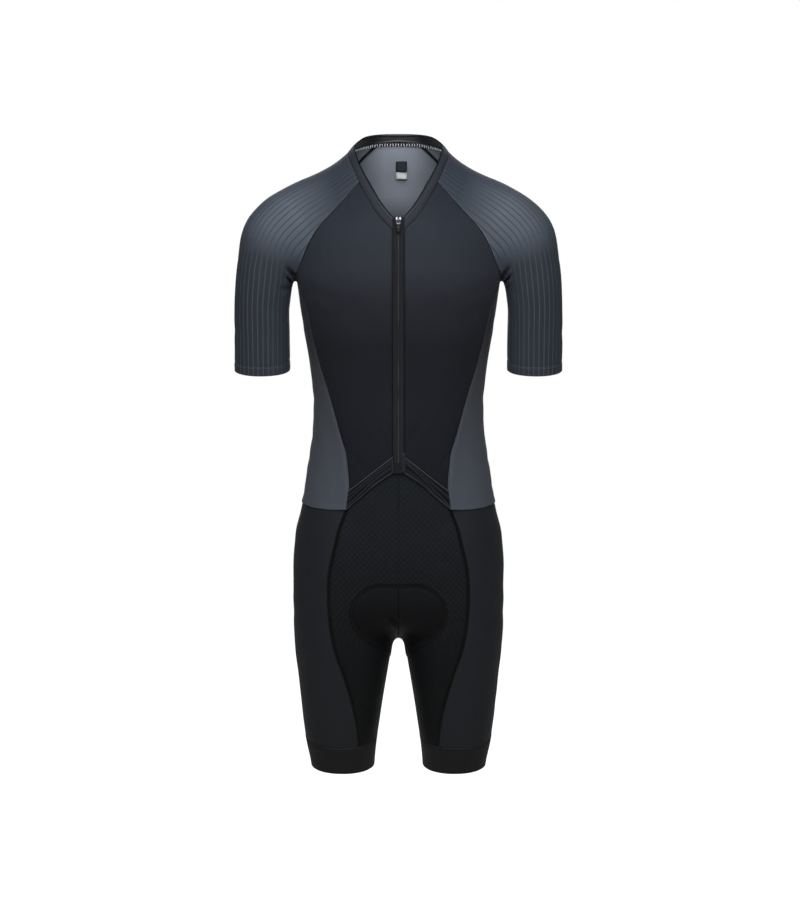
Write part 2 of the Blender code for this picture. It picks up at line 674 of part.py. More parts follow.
def build_neck_band(s):
    half_foot = chain(s["neck_front"], s["neck_side"], s["neck_back"])
    half_edge = s["neck_edge"]
    foot = chain(half_foot, mirrored(half_foot[::-1]))
    edge = chain(half_edge, mirrored(half_edge[::-1]))
    grid = np.array([foot, drop((foot + edge) / 2), edge])
    wall("neck_band", grid, material("neck_cloth", SLATE, 0.5), BAND_WALL)


def build_zip(s):
    tape = material("zip_tape", BLACK, 0.7)
    z = np.concatenate([[ZIP_TAPE_END_Z], s["zip"][:, 2], [(NECK_V_Z + NECK_SEAM_Z) / 2, NECK_V_Z]])
    columns = [seen({"x": np.full(len(z), x), "z": z}, -1) for x in (TAPE_GAP / 2, ZIP_HALF)]
    both_sides("zip_tape", np.stack(columns, 1), tape, thick=ZIP_TAPE_WALL, lift=flap, keep=["start"])
    coil_z = z[2:-1]
    middle = seen({"x": np.zeros(len(coil_z)), "z": coil_z}, -1)
    square = normals(middle)
    outer = middle + square * (flap(middle) - ZIP_TAPE_WALL - SEAM_GAP)[:, None]
    outer = outer[:, None, :] + np.array([-COIL_HALF, COIL_HALF])[None, :, None] * [1, 0, 0]
    shell("zip_coil", outer, outer - square[:, None, :] * COIL_THICK, material("zip_coil", BLACK, 0.4))
    base_z = np.array([ZIP_BASE_Z, (ZIP_BASE_Z + ZIP_TAPE_END_Z) / 2, ZIP_TAPE_END_Z])
    cols = [seen({"x": np.full(3, x), "z": base_z}, -1) for x in (-ZIP_HALF, 0.0, ZIP_HALF)]
    wall("zip_base", np.stack(cols, 1), tape, ZIP_BASE_WALL, lift=flap)


def prism(name, outline, low, high, finish):
    """An outline in the slider's own plane, from low to high above the tape."""
    n = len(outline)
    verts = [(u, v, w) for w in (low, high) for u, v in outline]
    faces = [list(range(n))[::-1], list(range(n, 2 * n))]
    faces += [[i, (i + 1) % n, n + (i + 1) % n, n + i] for i in range(n)]
    return add(name, verts, faces, finish)


def bar(name, size, centre, finish):
    w, l, h = (v / 2 for v in size)
    cx, cy, cz = centre
    outline = [(cx - w, cy - l), (cx + w, cy - l), (cx + w, cy + l), (cx - w, cy + l)]
    return prism(name, outline, cz - h, cz + h, finish)


def united(target, *others):
    """Bars joined into one body."""
    for other in others:
        tool = target.modifiers.new("join", "BOOLEAN")
        tool.operation, tool.solver, tool.object = "UNION", "EXACT", other
        other.hide_render = True
        other.display_type = "WIRE"
    return target


def slider_place():
    """The slider's own frame: X across, Y up along the zip, Z out of the cloth."""
    at = seen(rows("x z", (0.0, SLIDER_Z)), -1)
    out = Vector(normals(at)[0])
    across = Vector((1, 0, 0))
    up = out.cross(across).normalized()
    turn = Matrix((across, up, across.cross(up))).transposed().to_4x4()
    return Matrix.Translation(Vector(at[0]) + out * float(flap(at)[0])) @ turn


def build_slider():
    metal = material("slider_metal", SILVER, 0.3, 1.0)
    rubber = material("pull_rubber", BLACK, 0.6)
    frame = slider_place()
    a, b, up, down = SLIDER["shoulder"] / 2, SLIDER["foot"] / 2, SLIDER["up"], SLIDER["down"]
    low, high = SLIDER["lift"], SLIDER["lift"] + SLIDER["plate"]
    notch = [(0.0008, up), (0.0008, up - 0.0018), (-0.0008, up - 0.0018), (-0.0008, up)]
    outline = [(-b, -down), (b, -down), (b, -0.001), (a, 0.0008), (a, up - 0.001), (a - 0.001, up)]
    outline += notch + [(0.001 - a, up), (-a, up - 0.001), (-a, 0.0008), (-b, -0.001)]
    body = prism("zip_slider", outline, low, high, metal)
    rod, wide = BRIDGE["bar"], BRIDGE["width"]
    top = BRIDGE["height"]
    posts = []
    for k, v in enumerate((BRIDGE["up"], BRIDGE["down"])):
        height = top - high + 0.0004
        posts.append(bar(f"post_{k}", (wide, rod, height), (0, v, high - 0.0002 + height / 2), metal))
    length = BRIDGE["up"] - BRIDGE["down"] + rod
    middle_v = (BRIDGE["up"] + BRIDGE["down"]) / 2
    posts.append(bar("crown", (wide, length, rod), (0, middle_v, top + rod / 2 - 0.0002), metal))
    for piece in [body, *posts]:
        piece.matrix_world = frame
    united(body, *posts)
    hinge = Matrix.Translation((0, LINK["hinge_v"], LINK["hinge_w"]))
    pivot = bpy.data.objects.new("pull_axis", None)
    bpy.context.scene.collection.objects.link(pivot)
    pivot.matrix_world = frame @ hinge
    half, r = LINK["half"], LINK["rod"] / 2
    foot_v, foot = LINK["foot_v"] - LINK["hinge_v"], LINK["foot"]
    link = bar("zip_pull_link", (2 * half, 2 * r, 2 * r), (0, 0, 0), metal)
    rail = (2 * r, -foot_v, 2 * r)
    rails = [bar(f"rail_{k}", rail, (k * (half - r), foot_v / 2, 0), metal) for k in (-1, 1)]
    rails.append(bar("link_foot", (2 * half, foot, 2 * r), (0, foot_v, 0), metal))
    t, f = TAB["top_v"] - LINK["hinge_v"], TAB["foot_v"] - LINK["hinge_v"]
    th, fh, thick = TAB["top_half"], TAB["foot_half"], TAB["thick"]
    arc = [math.radians(180 + 180 * k / 8) for k in range(9)]
    sole = [(fh * math.cos(q), f + fh + fh * math.sin(q)) for q in arc]
    tab = prism("zip_pull", [(-th, t)] + sole + [(th, t)], -thick / 2, thick / 2, rubber)
    for piece in [link, tab, *rails]:
        piece.parent = pivot
    united(link, *rails)


def build_shorts(s):
    front_cloth = material("shorts_front_cloth", (0.010, 0.011, 0.013), 0.5)
    side_cloth = material("shorts_side_cloth", BLACK, 0.5)
    down_middle = chain(s["middle_front"], s["inseam"])
    down_side = chain(s["side"][HIDDEN_CELLS::-1], s["shorts_side"])
    foot = s["leg_band_front"][::-1]
    grid = patch(Upright(0, leg_axis), s["shorts_top"], foot, down_middle, down_side)
    both_sides("shorts_front", grid, front_cloth)
    waist = chain(s["waist_side"], s["waist_back"])
    rear = chain(s["middle_back"], s["inseam"])
    grid = patch(Upright(120, leg_axis), waist, s["leg_band_side"], s["shorts_side"], rear)
    both_sides("shorts_side", grid, side_cloth)
    top = chain(s["leg_band_front"][::-1], s["leg_band_side"])
    hem = chain(s["leg_hem_front"][::-1], s["leg_hem_side"])
    grid = np.array([hem, drop((hem + top) / 2), top])
    band = material("leg_band_cloth", (0.014, 0.014, 0.014), 0.8)
    both_sides("leg_band", grid, band, thick=BAND_WALL, ring=True, keep=["start", "end"])


def build_pad(s):
    """The seat pad: a shallow cushion in the fork, thinner towards its edge."""
    turns = np.radians(np.linspace(0, 180, 19))
    low = under_body(turns)
    front = seen(rows("x z", (0.0, PAD_FRONT_Z)), -1)
    back = seen(rows("x z", (0.0, -0.612), (0.0, PAD_BACK_Z)), 1)
    middle = on_middle(curve(np.concatenate([front, low, back]), PAD_CELLS))
    outline = drop(np.array([PAD_OUTLINE[k] for k in "xyz"]).T)
    outline = curve(outline, PAD_CELLS)
    head = curve(np.array([middle[0], outline[0]]), PAD_COLS)
    foot = curve(np.array([middle[-1], outline[-1]]), PAD_COLS)
    grid = patch(Upright(-90, leg_axis), head, foot, middle, outline)
    whole = np.concatenate([mirrored(grid)[:, :0:-1], grid], 1)
    square = normals(whole)
    across = np.abs(np.linspace(-1, 1, whole.shape[1]))[None, :]
    along = np.abs(np.linspace(-1, 1, whole.shape[0]))[:, None]
    thick = PAD["edge"] + (PAD["middle"] - PAD["edge"]) * (1 - across**3) * (1 - along**4)
    outer = whole - square * (WALL + PAD["clear"])
    cloth = material("pad_cloth", (0.02, 0.02, 0.022), 0.8)
    shell("seat_pad", outer, outer - square * thick[..., None], cloth)


def build_labels():
    """Two plain labels and the tapes over the back raglan seams, inside the neck."""
    names = ("neck_label", "size_label")
    finishes = (material("label_dark", BLACK, 0.6), material("label_pale", (0.6, 0.6, 0.6), 0.6))
    for k, (name, finish) in enumerate(zip(names, finishes)):
        x = LABELS["middle"][k] + LABELS["half"][k] * np.linspace(-1, 1, 4)
        z = np.linspace(LABELS["foot"][k], LABELS["top"][k], 4)
        grid = np.stack([seen({"x": x, "z": np.full(4, level)}, 1) for level in z])
        outer = grid - normals(grid) * (WALL + LABEL_CLEAR)
        shell(name, outer, outer - normals(grid) * LABEL_WALL, finish)


def build_seam_tapes(s):
    line = s["raglan_back"]
    square = normals(line)
    along = np.gradient(line, axis=0)
    along /= np.linalg.norm(along, axis=1)[:, None]
    across = np.cross(square, along)
    outer = line - square * (WALL + TAPE_CLEAR)
    strip = np.stack([outer - across * TAPE_HALF, outer + across * TAPE_HALF], 1)[1:-1]
    inner = strip - square[1:-1, None, :] * TAPE_WALL
    finish = material("seam_tape", BLACK, 0.6)
    shell("raglan_tape_left", strip, inner, finish)
    shell("raglan_tape_right", mirrored(strip)[:, ::-1], mirrored(inner)[:, ::-1], finish)


def build():
    for obj in list(bpy.data.objects):
        bpy.data.objects.remove(obj, do_unlink=True)
    seams = make_leg_seams(make_seams())
    build_jersey(seams)
    build_neck_band(seams)
    build_zip(seams)
    build_slider()
    build_shorts(seams)
    build_pad(seams)
    build_labels()
    build_seam_tapes(seams)


build()
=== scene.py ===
import math
from functools import partial

import bmesh
import bpy
import numpy as np
from mathutils import Matrix, Vector


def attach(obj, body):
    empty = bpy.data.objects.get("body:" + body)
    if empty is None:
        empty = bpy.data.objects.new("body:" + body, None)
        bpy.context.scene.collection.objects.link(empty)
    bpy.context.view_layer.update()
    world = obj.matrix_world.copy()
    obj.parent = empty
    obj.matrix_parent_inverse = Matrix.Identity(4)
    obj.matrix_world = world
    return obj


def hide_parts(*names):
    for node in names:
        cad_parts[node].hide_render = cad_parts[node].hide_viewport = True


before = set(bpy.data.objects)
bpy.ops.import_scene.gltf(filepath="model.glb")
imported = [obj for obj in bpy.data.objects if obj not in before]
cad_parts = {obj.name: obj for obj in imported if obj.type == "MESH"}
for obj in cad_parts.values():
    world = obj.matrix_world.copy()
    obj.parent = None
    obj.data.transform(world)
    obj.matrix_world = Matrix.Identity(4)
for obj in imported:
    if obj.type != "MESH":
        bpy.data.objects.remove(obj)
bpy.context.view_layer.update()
print("frame loaded")

# Metres, +Z up, the wearer faces -Y and the wearer's left is +X. The origin is between the shoulders.
# Every cloth panel is laid on one smooth form, as its CAD solid is, only finer, and then creased.


# The form that the cloth lies on


def rows(names, *lines):
    return dict(zip(names.split(), np.array(lines, float).T))


torsoForm = rows(
    "z half front back",
    (0.080, 0.052, 0.050, 0.062),
    (0.045, 0.0580, 0.054, 0.067),
    (0.015, 0.0700, 0.062, 0.078),
    (-0.020, 0.088, 0.076, 0.092),
    (-0.060, 0.112, 0.094, 0.105),
    (-0.110, 0.142, 0.110, 0.116),
    (-0.160, 0.1525, 0.117, 0.121),
    (-0.205, 0.148, 0.117, 0.120),
    (-0.250, 0.141, 0.113, 0.112),
    (-0.300, 0.133, 0.106, 0.099),
    (-0.350, 0.1275, 0.101, 0.088),
    (-0.400, 0.129, 0.099, 0.084),
    (-0.450, 0.136, 0.099, 0.090),
    (-0.500, 0.1435, 0.099, 0.102),
    (-0.550, 0.1515, 0.098, 0.115),
    (-0.600, 0.1545, 0.096, 0.123),
    (-0.640, 0.150, 0.090, 0.119),
)
legForm = rows(
    "z x y half front back",
    (-0.560, 0.074, 0.004, 0.072, 0.086, 0.104),
    (-0.620, 0.078, 0.004, 0.0735, 0.086, 0.108),
    (-0.680, 0.0815, 0.003, 0.0755, 0.084, 0.098),
    (-0.727, 0.083, 0.003, 0.0715, 0.079, 0.088),
    (-0.772, 0.084, 0.003, 0.065, 0.072, 0.080),
    (-0.802, 0.085, 0.003, 0.061, 0.067, 0.075),
    (-0.832, 0.0855, 0.003, 0.057, 0.062, 0.069),
    (-0.862, 0.0855, 0.003, 0.0525, 0.057, 0.063),
    (-0.892, 0.0838, 0.003, 0.0478, 0.052, 0.057),
    (-0.930, 0.0820, 0.003, 0.0445, 0.048, 0.053),
)
armForm = rows(
    "x y z across depth",
    (-0.010, 0.006, -0.054, 0.056, 0.062),
    (0.045, 0.006, -0.056, 0.056, 0.062),
    (0.092, 0.005, -0.064, 0.0565, 0.059),
    (0.140, 0.002, -0.084, 0.058, 0.056),
    (0.176, 0.000, -0.112, 0.0590, 0.053),
    (0.198, 0.000, -0.158, 0.0450, 0.049),
    (0.2045, 0.003, -0.205, 0.0415, 0.046),
    (0.205, 0.010, -0.260, 0.0415, 0.044),
    (0.205, 0.021, -0.345, 0.0415, 0.043),
)
formSizes = {
    "torsoPower": 2.25,
    "limbPower": 2.1,
    "cap": 0.050,
    "crotchCap": 0.060,
    "underarm": 0.007,  # how far the arm, the shoulder and the legs are filleted into the body
    "shoulder": 0.055,
    "shoulderFrom": -0.185,  # the height from which the fillet grows to the shoulder's, and over how much
    "shoulderRise": 0.10,
    "crotch": 0.022,
    "armLowest": -0.40,  # no arm reaches below this
}


def smooth(knots, values, at):
    if knots[0] > knots[-1]:
        knots, values = knots[::-1], values[::-1]
    slope = np.gradient(values, knots)
    at = np.clip(at, knots[0], knots[-1])
    i = np.clip(np.searchsorted(knots, at) - 1, 0, len(knots) - 2)
    step = knots[i + 1] - knots[i]
    t = (at - knots[i]) / step
    ends = values[i] * (1 + 2 * t) * (1 - t) ** 2 + values[i + 1] * t * t * (3 - 2 * t)
    return ends + step * t * (1 - t) * (slope[i] * (1 - t) - slope[i + 1] * t)


# A table's named columns at some heights
def sizesAt(table, z, *names):
    return [smooth(table["z"], table[name], z) for name in names]


def measured(line):
    return np.concatenate([[0], np.cumsum(np.linalg.norm(np.diff(line, axis=0), axis=1))])


# The places at some runs along a line
def between(at, run, line):
    return np.array([np.interp(at, run, line[:, k]) for k in range(3)]).T


def unit(ways):
    return ways / np.linalg.norm(ways, axis=1)[:, None]


def ease(t):
    t = np.clip(t, 0.0, 1.0)
    return t * t * (3 - 2 * t)


# 1 at 0, falling away to either side
def bell(x, width=1.0):
    return np.exp(-((x / width) ** 2))


def fillet(a, b, reach):
    h = np.maximum(reach - np.abs(a - b), 0.0) / reach
    return np.minimum(a, b) - h * h * reach / 4


def tube(u, v, past, half, depth, cap, power):
    g = ((np.abs(u) / half) ** power + (np.abs(v) / depth) ** power + (past / cap) ** power) ** (1 / power)
    return np.sqrt(u * u + v * v + past * past) * (1 - 1 / np.maximum(g, 1e-6))


def torso(p):
    x, y, z = p.T
    half, front, back = sizesAt(torsoForm, z, "half", "front", "back")
    above = np.maximum(z - torsoForm["z"][0], 0)
    below = np.maximum(torsoForm["z"][-1] - z, 0)
    cap = np.where(above > 0, formSizes["cap"], formSizes["crotchCap"])
    return tube(x, y, above + below, half, np.where(y < 0, front, back), cap, formSizes["torsoPower"])


def legAxis(z):
    return sizesAt(legForm, z, "x", "y")


def leg(p, side):
    x, y, z = p.T
    cx, cy, half, front, back = sizesAt(legForm, z, "x", "y", "half", "front", "back")
    past = np.maximum(z - legForm["z"][0], 0) + np.maximum(legForm["z"][-1] - z, 0)
    depth = np.where(y < cy, front, back)
    return tube(x - side * cx, y - cy, past, half, depth, formSizes["cap"], formSizes["limbPower"])


def makeArmLine(count=90):
    knots = np.array([armForm[k] for k in "xyz"]).T
    reach = measured(knots)
    run = np.linspace(0, reach[-1], count)
    at = np.array([smooth(reach, armForm[k], run) for k in "xyz"]).T
    along = unit(np.gradient(at, run, axis=0))
    sizes = {k: smooth(reach, armForm[k], run) for k in ("across", "depth")}
    return {"run": run, "at": at, "along": along, **sizes}


armLine = makeArmLine()


def armFrame(run):
    r = np.clip(run, 0, armLine["run"][-1])
    at = between(r, armLine["run"], armLine["at"])
    along = unit(between(r, armLine["run"], armLine["along"]))
    back = unit(np.array([0.0, 1.0, 0.0]) - along * along[:, 1:2])
    return at + along * (run - r)[:, None], along, np.cross(along, back), back


def armPlace(p):
    nearest = ((armLine["at"] ** 2).sum(1) - 2 * p @ armLine["at"].T).argmin(1)
    off = p - armLine["at"][nearest]
    run = armLine["run"][nearest] + (off * armLine["along"][nearest]).sum(1)
    at, _, out, back = armFrame(run)
    return run, ((p - at) * out).sum(1), ((p - at) * back).sum(1)


def arm(p):
    found = np.full(len(p), 1.0)
    near = p[:, 2] > formSizes["armLowest"]
    if near.any():
        q = p[near]
        run, out, back = armPlace(np.column_stack([np.abs(q[:, 0]), q[:, 1:]]))
        past = np.maximum(-run, 0) + np.maximum(run - armLine["run"][-1], 0)
        across, depth = (np.interp(run, armLine["run"], armLine[k]) for k in ("across", "depth"))
        found[near] = tube(out, back, past, across, depth, formSizes["cap"], formSizes["limbPower"])
    return found


def form(p):
    shoulder = ease((p[:, 2] - formSizes["shoulderFrom"]) / formSizes["shoulderRise"])
    reach = formSizes["underarm"] + (formSizes["shoulder"] - formSizes["underarm"]) * shoulder
    body = fillet(torso(p), arm(p), reach)
    return fillet(fillet(body, leg(p, 1), formSizes["crotch"]), leg(p, -1), formSizes["crotch"])


def slopeOf(p, step=1e-4):
    return np.stack([(form(p + step * e) - form(p - step * e)) / (2 * step) for e in np.eye(3)], 1)


def drop(p, turns=6):
    shape, p = np.shape(p), np.reshape(p, (-1, 3)).astype(float)
    for _ in range(turns):
        g = slopeOf(p)
        p = p - g * (form(p) / (g * g).sum(1))[:, None]
    return p.reshape(shape)


def squareTo(p):
    shape, g = np.shape(p), slopeOf(np.reshape(p, (-1, 3)), 0.003)
    return unit(g).reshape(shape)


def cast(start, way, reach):
    near, far = np.zeros(len(start)), np.zeros(len(start)) + reach
    for _ in range(28):
        mid = (near + far) / 2
        inside = form(start + way * mid[:, None]) < 0
        near, far = np.where(inside, mid, near), np.where(inside, far, mid)
    return start + way * near[:, None]


# Seams of the wearer's left half; x and z as seen from the front or the back

sideSeam = rows(
    "x z",
    (0.0755, -0.5145),
    (0.0728, -0.5050),
    (0.0717, -0.4875),
    (0.0722, -0.4724),
    (0.0740, -0.4509),
    (0.0768, -0.4300),
    (0.0803, -0.4193),
    (0.0916, -0.3805),
    (0.1030, -0.3445),
    (0.1150, -0.3076),
    (0.1290, -0.2536),
    (0.1370, -0.2170),
)
raglanFront = rows(
    "x z",
    (0.1530, -0.1670),
    (0.1430, -0.1467),
    (0.1345, -0.1280),
    (0.1210, -0.1054),
    (0.1020, -0.0840),
    (0.0790, -0.0595),
    (0.0575, -0.0345),
)
raglanBack = rows(
    "x z",
    (0.1490, -0.1600),
    (0.1420, -0.1330),
    (0.1300, -0.1020),
    (0.1110, -0.0660),
    (0.0870, -0.0270),
    (0.0605, 0.0130),
    (0.0315, 0.0415),
)
backSeam = rows(
    "x z",
    (0.1000, -0.4960),
    (0.1000, -0.4400),
    (0.1040, -0.3800),
    (0.1140, -0.3200),
    (0.1290, -0.2550),
    (0.1390, -0.2150),
)
shortsSeam = rows(
    "x z",
    (0.0755, -0.5145),
    (0.0850, -0.5396),
    (0.0920, -0.5673),
    (0.0983, -0.5934),
    (0.1018, -0.6167),
    (0.1024, -0.6430),
    (0.1009, -0.6690),
    (0.0970, -0.7013),
    (0.0900, -0.7300),
    (0.0815, -0.7533),
    (0.0730, -0.7790),
    (0.0658, -0.8053),
    (0.0600, -0.8345),
)
zipSizes = {
    "half": 0.0082,  # from the middle of the zip to the edge of a front
    "tapeGap": 0.0006,
    "vTop": -0.0890,
    "vFoot": -0.1070,
    "hemPeak": -0.4610,
    "hemBand": -0.4380,
    "baseLow": -0.4612,
    "baseHigh": -0.4475,
    "sliderZ": -0.0945,
}
neckFront = rows(
    "x z",
    (zipSizes["half"], zipSizes["vFoot"]),
    (0.0210, -0.0939),
    (0.0316, -0.0806),
    (0.0440, -0.0590),
    (0.0575, -0.0345),
)
hemTop = rows("x z", (0.030, -0.4550), (0.052, -0.4724))
hemFoot = rows("x z", (zipSizes["half"], zipSizes["hemPeak"]), (0.030, -0.4755), (0.052, -0.4945))
neckSide = rows("x z", (0.0665, -0.0124), (0.0745, 0.0110))
neckRound = rows("turn z", (100, 0.0255), (120, 0.0325), (139, 0.0378))
neckCorner = rows("x z", (0.0315, 0.0415))
neckBack = rows("turn z", (168, 0.0425), (180, 0.0430))
neckEdgeFront = rows(
    "x z",
    (zipSizes["half"], zipSizes["vTop"]),
    (0.0226, -0.0706),
    (0.0407, -0.0393),
    (0.0589, -0.0027),
    (0.0640, 0.0142),
)
neckEdgeRound = rows(
    "turn z", (90, 0.0320), (104, 0.0385), (120, 0.0455), (139, 0.0510), (162, 0.0548), (180, 0.0555)
)
waistSeam = rows(
    "turn z", (48, -0.5150), (62, -0.5130), (76, -0.5080), (90, -0.5030), (112, -0.4985), (130, -0.4965)
)
waistBack = rows("turn z", (155, -0.4930), (180, -0.4920))
padEdge = rows(
    "x y z",
    (0.0325, -0.10, -0.6270),
    (0.0530, -0.10, -0.6370),
    (0.0660, -0.09, -0.6530),
    (0.0690, -0.085, -0.6715),
    (0.0630, -0.080, -0.6895),
    (0.0485, -0.070, -0.7055),
    (0.0310, -0.052, -0.7180),
    (0.0170, -0.026, -0.7340),
    (0.0130, 0.003, -0.7400),
    (0.0200, 0.040, -0.7300),
    (0.0420, 0.080, -0.7080),
    (0.0620, 0.106, -0.6800),
    (0.0720, 0.120, -0.6450),
    (0.0660, 0.124, -0.6080),
    (0.0420, 0.124, -0.5850),
)
cut = {
    "underarm": (0.1560, 0.004, -0.1720),
    "underarmFront": (0.1530, -0.010, -0.1710),
    "underarmBack": (0.1530, 0.018, -0.1710),
    "sleeveHem": -0.306,
    "sleeveTilt": 0.0065,
    "sleeveSeamTop": -0.016,
    "legBand": -0.8540,
    "legBandTilt": 0.0155,
    "legHem": -0.8970,
    "legHemTilt": 0.0095,
    "waistMiddle": -0.4920,
    "crotchCentre": -0.640,
    "inseam": np.array([-0.728, -0.745, -0.775, -0.805, -0.835]),
    "legSeamTurn": math.radians(-31),
    "padFront": -0.6270,
    "padBack": -0.5820,
    "padSeat": -0.612,
}

# How many cells of cloth run along each seam
cells = {"side": 52, "raglan": 28, "tip": 8, "front": 24, "back": 40, "sleeve": 48, "sleeveRows": 20}
cells.update({"hidden": 16, "crotch": 52, "inseam": 24, "hemBand": 4, "padRun": 48, "padHalf": 12})
cells["sidePanel"] = 2 * cells["tip"]
cells["legSide"] = cells["sidePanel"] + cells["back"] // 2
finer = 2
cells = {name: finer * count for name, count in cells.items()}


def seen(table, side):
    x, z = np.atleast_1d(table["x"]), np.atleast_1d(table["z"])
    start = np.column_stack([x, np.zeros_like(x), z])
    return cast(start, np.tile([0.0, side, 0.0], (len(x), 1)), 0.2)


# An upright line on the front of the form
def upright(x, levels):
    return seen({"x": np.full(len(levels), x), "z": levels}, -1)


def roundBody(table):
    turn = np.radians(table["turn"])
    start = np.column_stack([np.zeros_like(turn), np.zeros_like(turn), table["z"]])
    return cast(start, np.column_stack([np.sin(turn), -np.cos(turn), np.zeros_like(turn)]), 0.2)


def roundLeg(turn, z):
    x, y = legAxis(z)
    reach = np.minimum(0.13, x / np.maximum(-np.sin(turn), 1e-6))  # no further than between the legs
    way = np.column_stack([np.sin(turn), -np.cos(turn), np.zeros_like(turn)])
    return cast(np.column_stack([x, y, z]), way, reach)


def underBody(turn):
    start = np.tile([0.0, 0.0, cut["crotchCentre"]], (len(turn), 1))
    return cast(start, np.column_stack([np.zeros_like(turn), -np.cos(turn), -np.sin(turn)]), 0.2)


def curve(points, count):
    points = np.asarray(points, float)
    reach = measured(points)
    close = np.linspace(0, reach[-1], 20 * count + 1)
    fine = np.array([smooth(reach, points[:, k], close) for k in range(3)]).T
    run = measured(fine)
    even = np.linspace(0, run[-1], count + 1)
    laid = drop(between(even, run, fine))
    laid[0], laid[-1] = drop(points[[0, -1]])
    return laid


def chain(*parts):
    return np.concatenate([parts[0]] + [part[1:] for part in parts[1:]])


def mirrored(points):
    return points * [-1, 1, 1]


# A line that ends at the middle, carried on over the other side
def bothHalves(line):
    return chain(line, mirrored(line[::-1]))


def onMiddle(points):
    points[:, 0] = 0.0
    return points


def makeSeams():
    s = {}
    tip, tipFront, tipBack = (drop([cut[k]]) for k in ("underarm", "underarmFront", "underarmBack"))
    neckLine, corner = seen(neckFront, -1), seen(neckCorner, 1)
    side = np.concatenate([seen(sideSeam, -1), tipFront])  # the hem band ends at its third point
    s["side"] = chain(curve(side[:3], cells["hemBand"]), curve(side[2:], cells["side"] - cells["hemBand"]))
    s["raglanFront"] = curve(np.concatenate([tipFront, seen(raglanFront, -1)]), cells["raglan"])
    s["raglanBack"] = curve(np.concatenate([tipBack, seen(raglanBack, 1)]), cells["raglan"])
    s["backSide"] = curve(np.concatenate([seen(backSeam, 1), tipBack]), cells["side"])
    s["tipFront"] = curve(np.concatenate([tip, tipFront]), cells["tip"])
    s["tipBack"] = curve(np.concatenate([tip, tipBack]), cells["tip"])
    s["neckFront"] = curve(neckLine, cells["front"])
    over = np.concatenate([neckLine[-1:], seen(neckSide, -1), roundBody(neckRound), corner])
    s["neckSide"] = curve(over, cells["sleeve"])
    s["neckBack"] = curve(np.concatenate([corner, roundBody(neckBack)]), cells["back"] // 2)
    edge = np.concatenate([seen(neckEdgeFront, -1), roundBody(neckEdgeRound)])
    s["neckEdge"] = curve(edge, cells["front"] + cells["sleeve"] + cells["back"] // 2)
    waist = np.concatenate([s["side"][:1], roundBody(waistSeam), s["backSide"][:1]])
    s["waistSide"] = curve(waist, cells["sidePanel"])
    s["waistBack"] = curve(np.concatenate([s["backSide"][:1], roundBody(waistBack)]), cells["back"] // 2)
    up = np.linspace(zipSizes["hemBand"], zipSizes["vFoot"], 9)
    s["zip"] = curve(upright(zipSizes["half"], up), cells["side"] - cells["hemBand"] + cells["raglan"])
    s["zip"][:, 0] = zipSizes["half"]
    bandEnd = s["side"][cells["hemBand"]][None]
    s["bandTop"] = curve(np.concatenate([s["zip"][:1], seen(hemTop, -1), bandEnd]), cells["front"])
    s["bandFoot"] = curve(np.concatenate([seen(hemFoot, -1), s["side"][:1]]), cells["front"])
    return s


def addLegSeams(s):
    quarter = math.pi / 2
    ring = np.linspace(cut["legSeamTurn"], -quarter, cells["front"] + 1)
    rear = np.linspace(cut["legSeamTurn"], 3 * quarter, cells["legSide"] + 1)
    for name in ("legBand", "legHem"):
        s[name + "Front"] = roundLeg(ring, cut[name] - cut[name + "Tilt"] * np.cos(ring))
        s[name + "Side"] = roundLeg(rear, cut[name] - cut[name + "Tilt"] * np.cos(rear))
    top = s["side"][cells["hidden"]]
    middleUp = {"x": np.zeros(8), "z": np.linspace(top[2], cut["crotchCentre"], 9)[:-1]}
    fork = underBody(np.radians([90.0]))
    front = np.concatenate([seen(middleUp, -1), underBody(np.radians(np.arange(0, 91, 10)))])
    middleLow = {"x": np.zeros(5), "z": np.linspace(cut["waistMiddle"], cut["crotchCentre"], 6)[:-1]}
    back = np.concatenate([seen(middleLow, 1), underBody(np.radians(np.arange(180, 89, -10)))])
    s["middleFront"] = onMiddle(curve(front, cells["crotch"]))
    s["middleBack"] = onMiddle(curve(back, cells["crotch"] - cells["hidden"]))
    inner = roundLeg(np.full(len(cut["inseam"]), -quarter), cut["inseam"])
    s["inseam"] = curve(np.concatenate([fork, inner, s["legBandFront"][-1:]]), cells["inseam"])
    down = np.concatenate([seen(shortsSeam, -1), s["legBandSide"][:1]])
    s["shortsSide"] = curve(down, cells["crotch"] + cells["inseam"] - cells["hidden"])
    s["shortsSide"][0] = s["side"][0]
    under = seen(rows("x z", (0.027, top[2]), (0.054, top[2])), -1)
    s["shortsTop"] = curve(np.concatenate([s["middleFront"][:1], under, [top]]), cells["front"])
    return s


seams = addLegSeams(makeSeams())
seams["neck"] = chain(seams["neckFront"], seams["neckSide"], seams["neckBack"])
seams["waist"] = chain(seams["waistSide"], seams["waistBack"])
seams["legTop"] = chain(seams["legBandFront"][::-1], seams["legBandSide"])
print("seams drawn")

# Panels of cloth: grids laid between their seams, round an upright axis or the arm's own one


def uprightCore(facing, axis=None):
    facing = math.radians(facing)

    def centre(z):
        x, y = axis(z) if axis else (0 * z, 0 * z)
        return np.column_stack([x, y, z])

    def place(p):
        off = p - centre(p[:, 2])
        turn = (np.arctan2(off[:, 0], -off[:, 1]) - facing + math.pi) % (2 * math.pi) - math.pi
        return np.column_stack([turn, p[:, 2], np.hypot(off[:, 0], off[:, 1])])

    def point(q):
        turn = q[:, 0] + facing
        return centre(q[:, 1]) + np.column_stack([np.sin(turn), -np.cos(turn), 0 * turn]) * q[:, 2:]

    return place, point


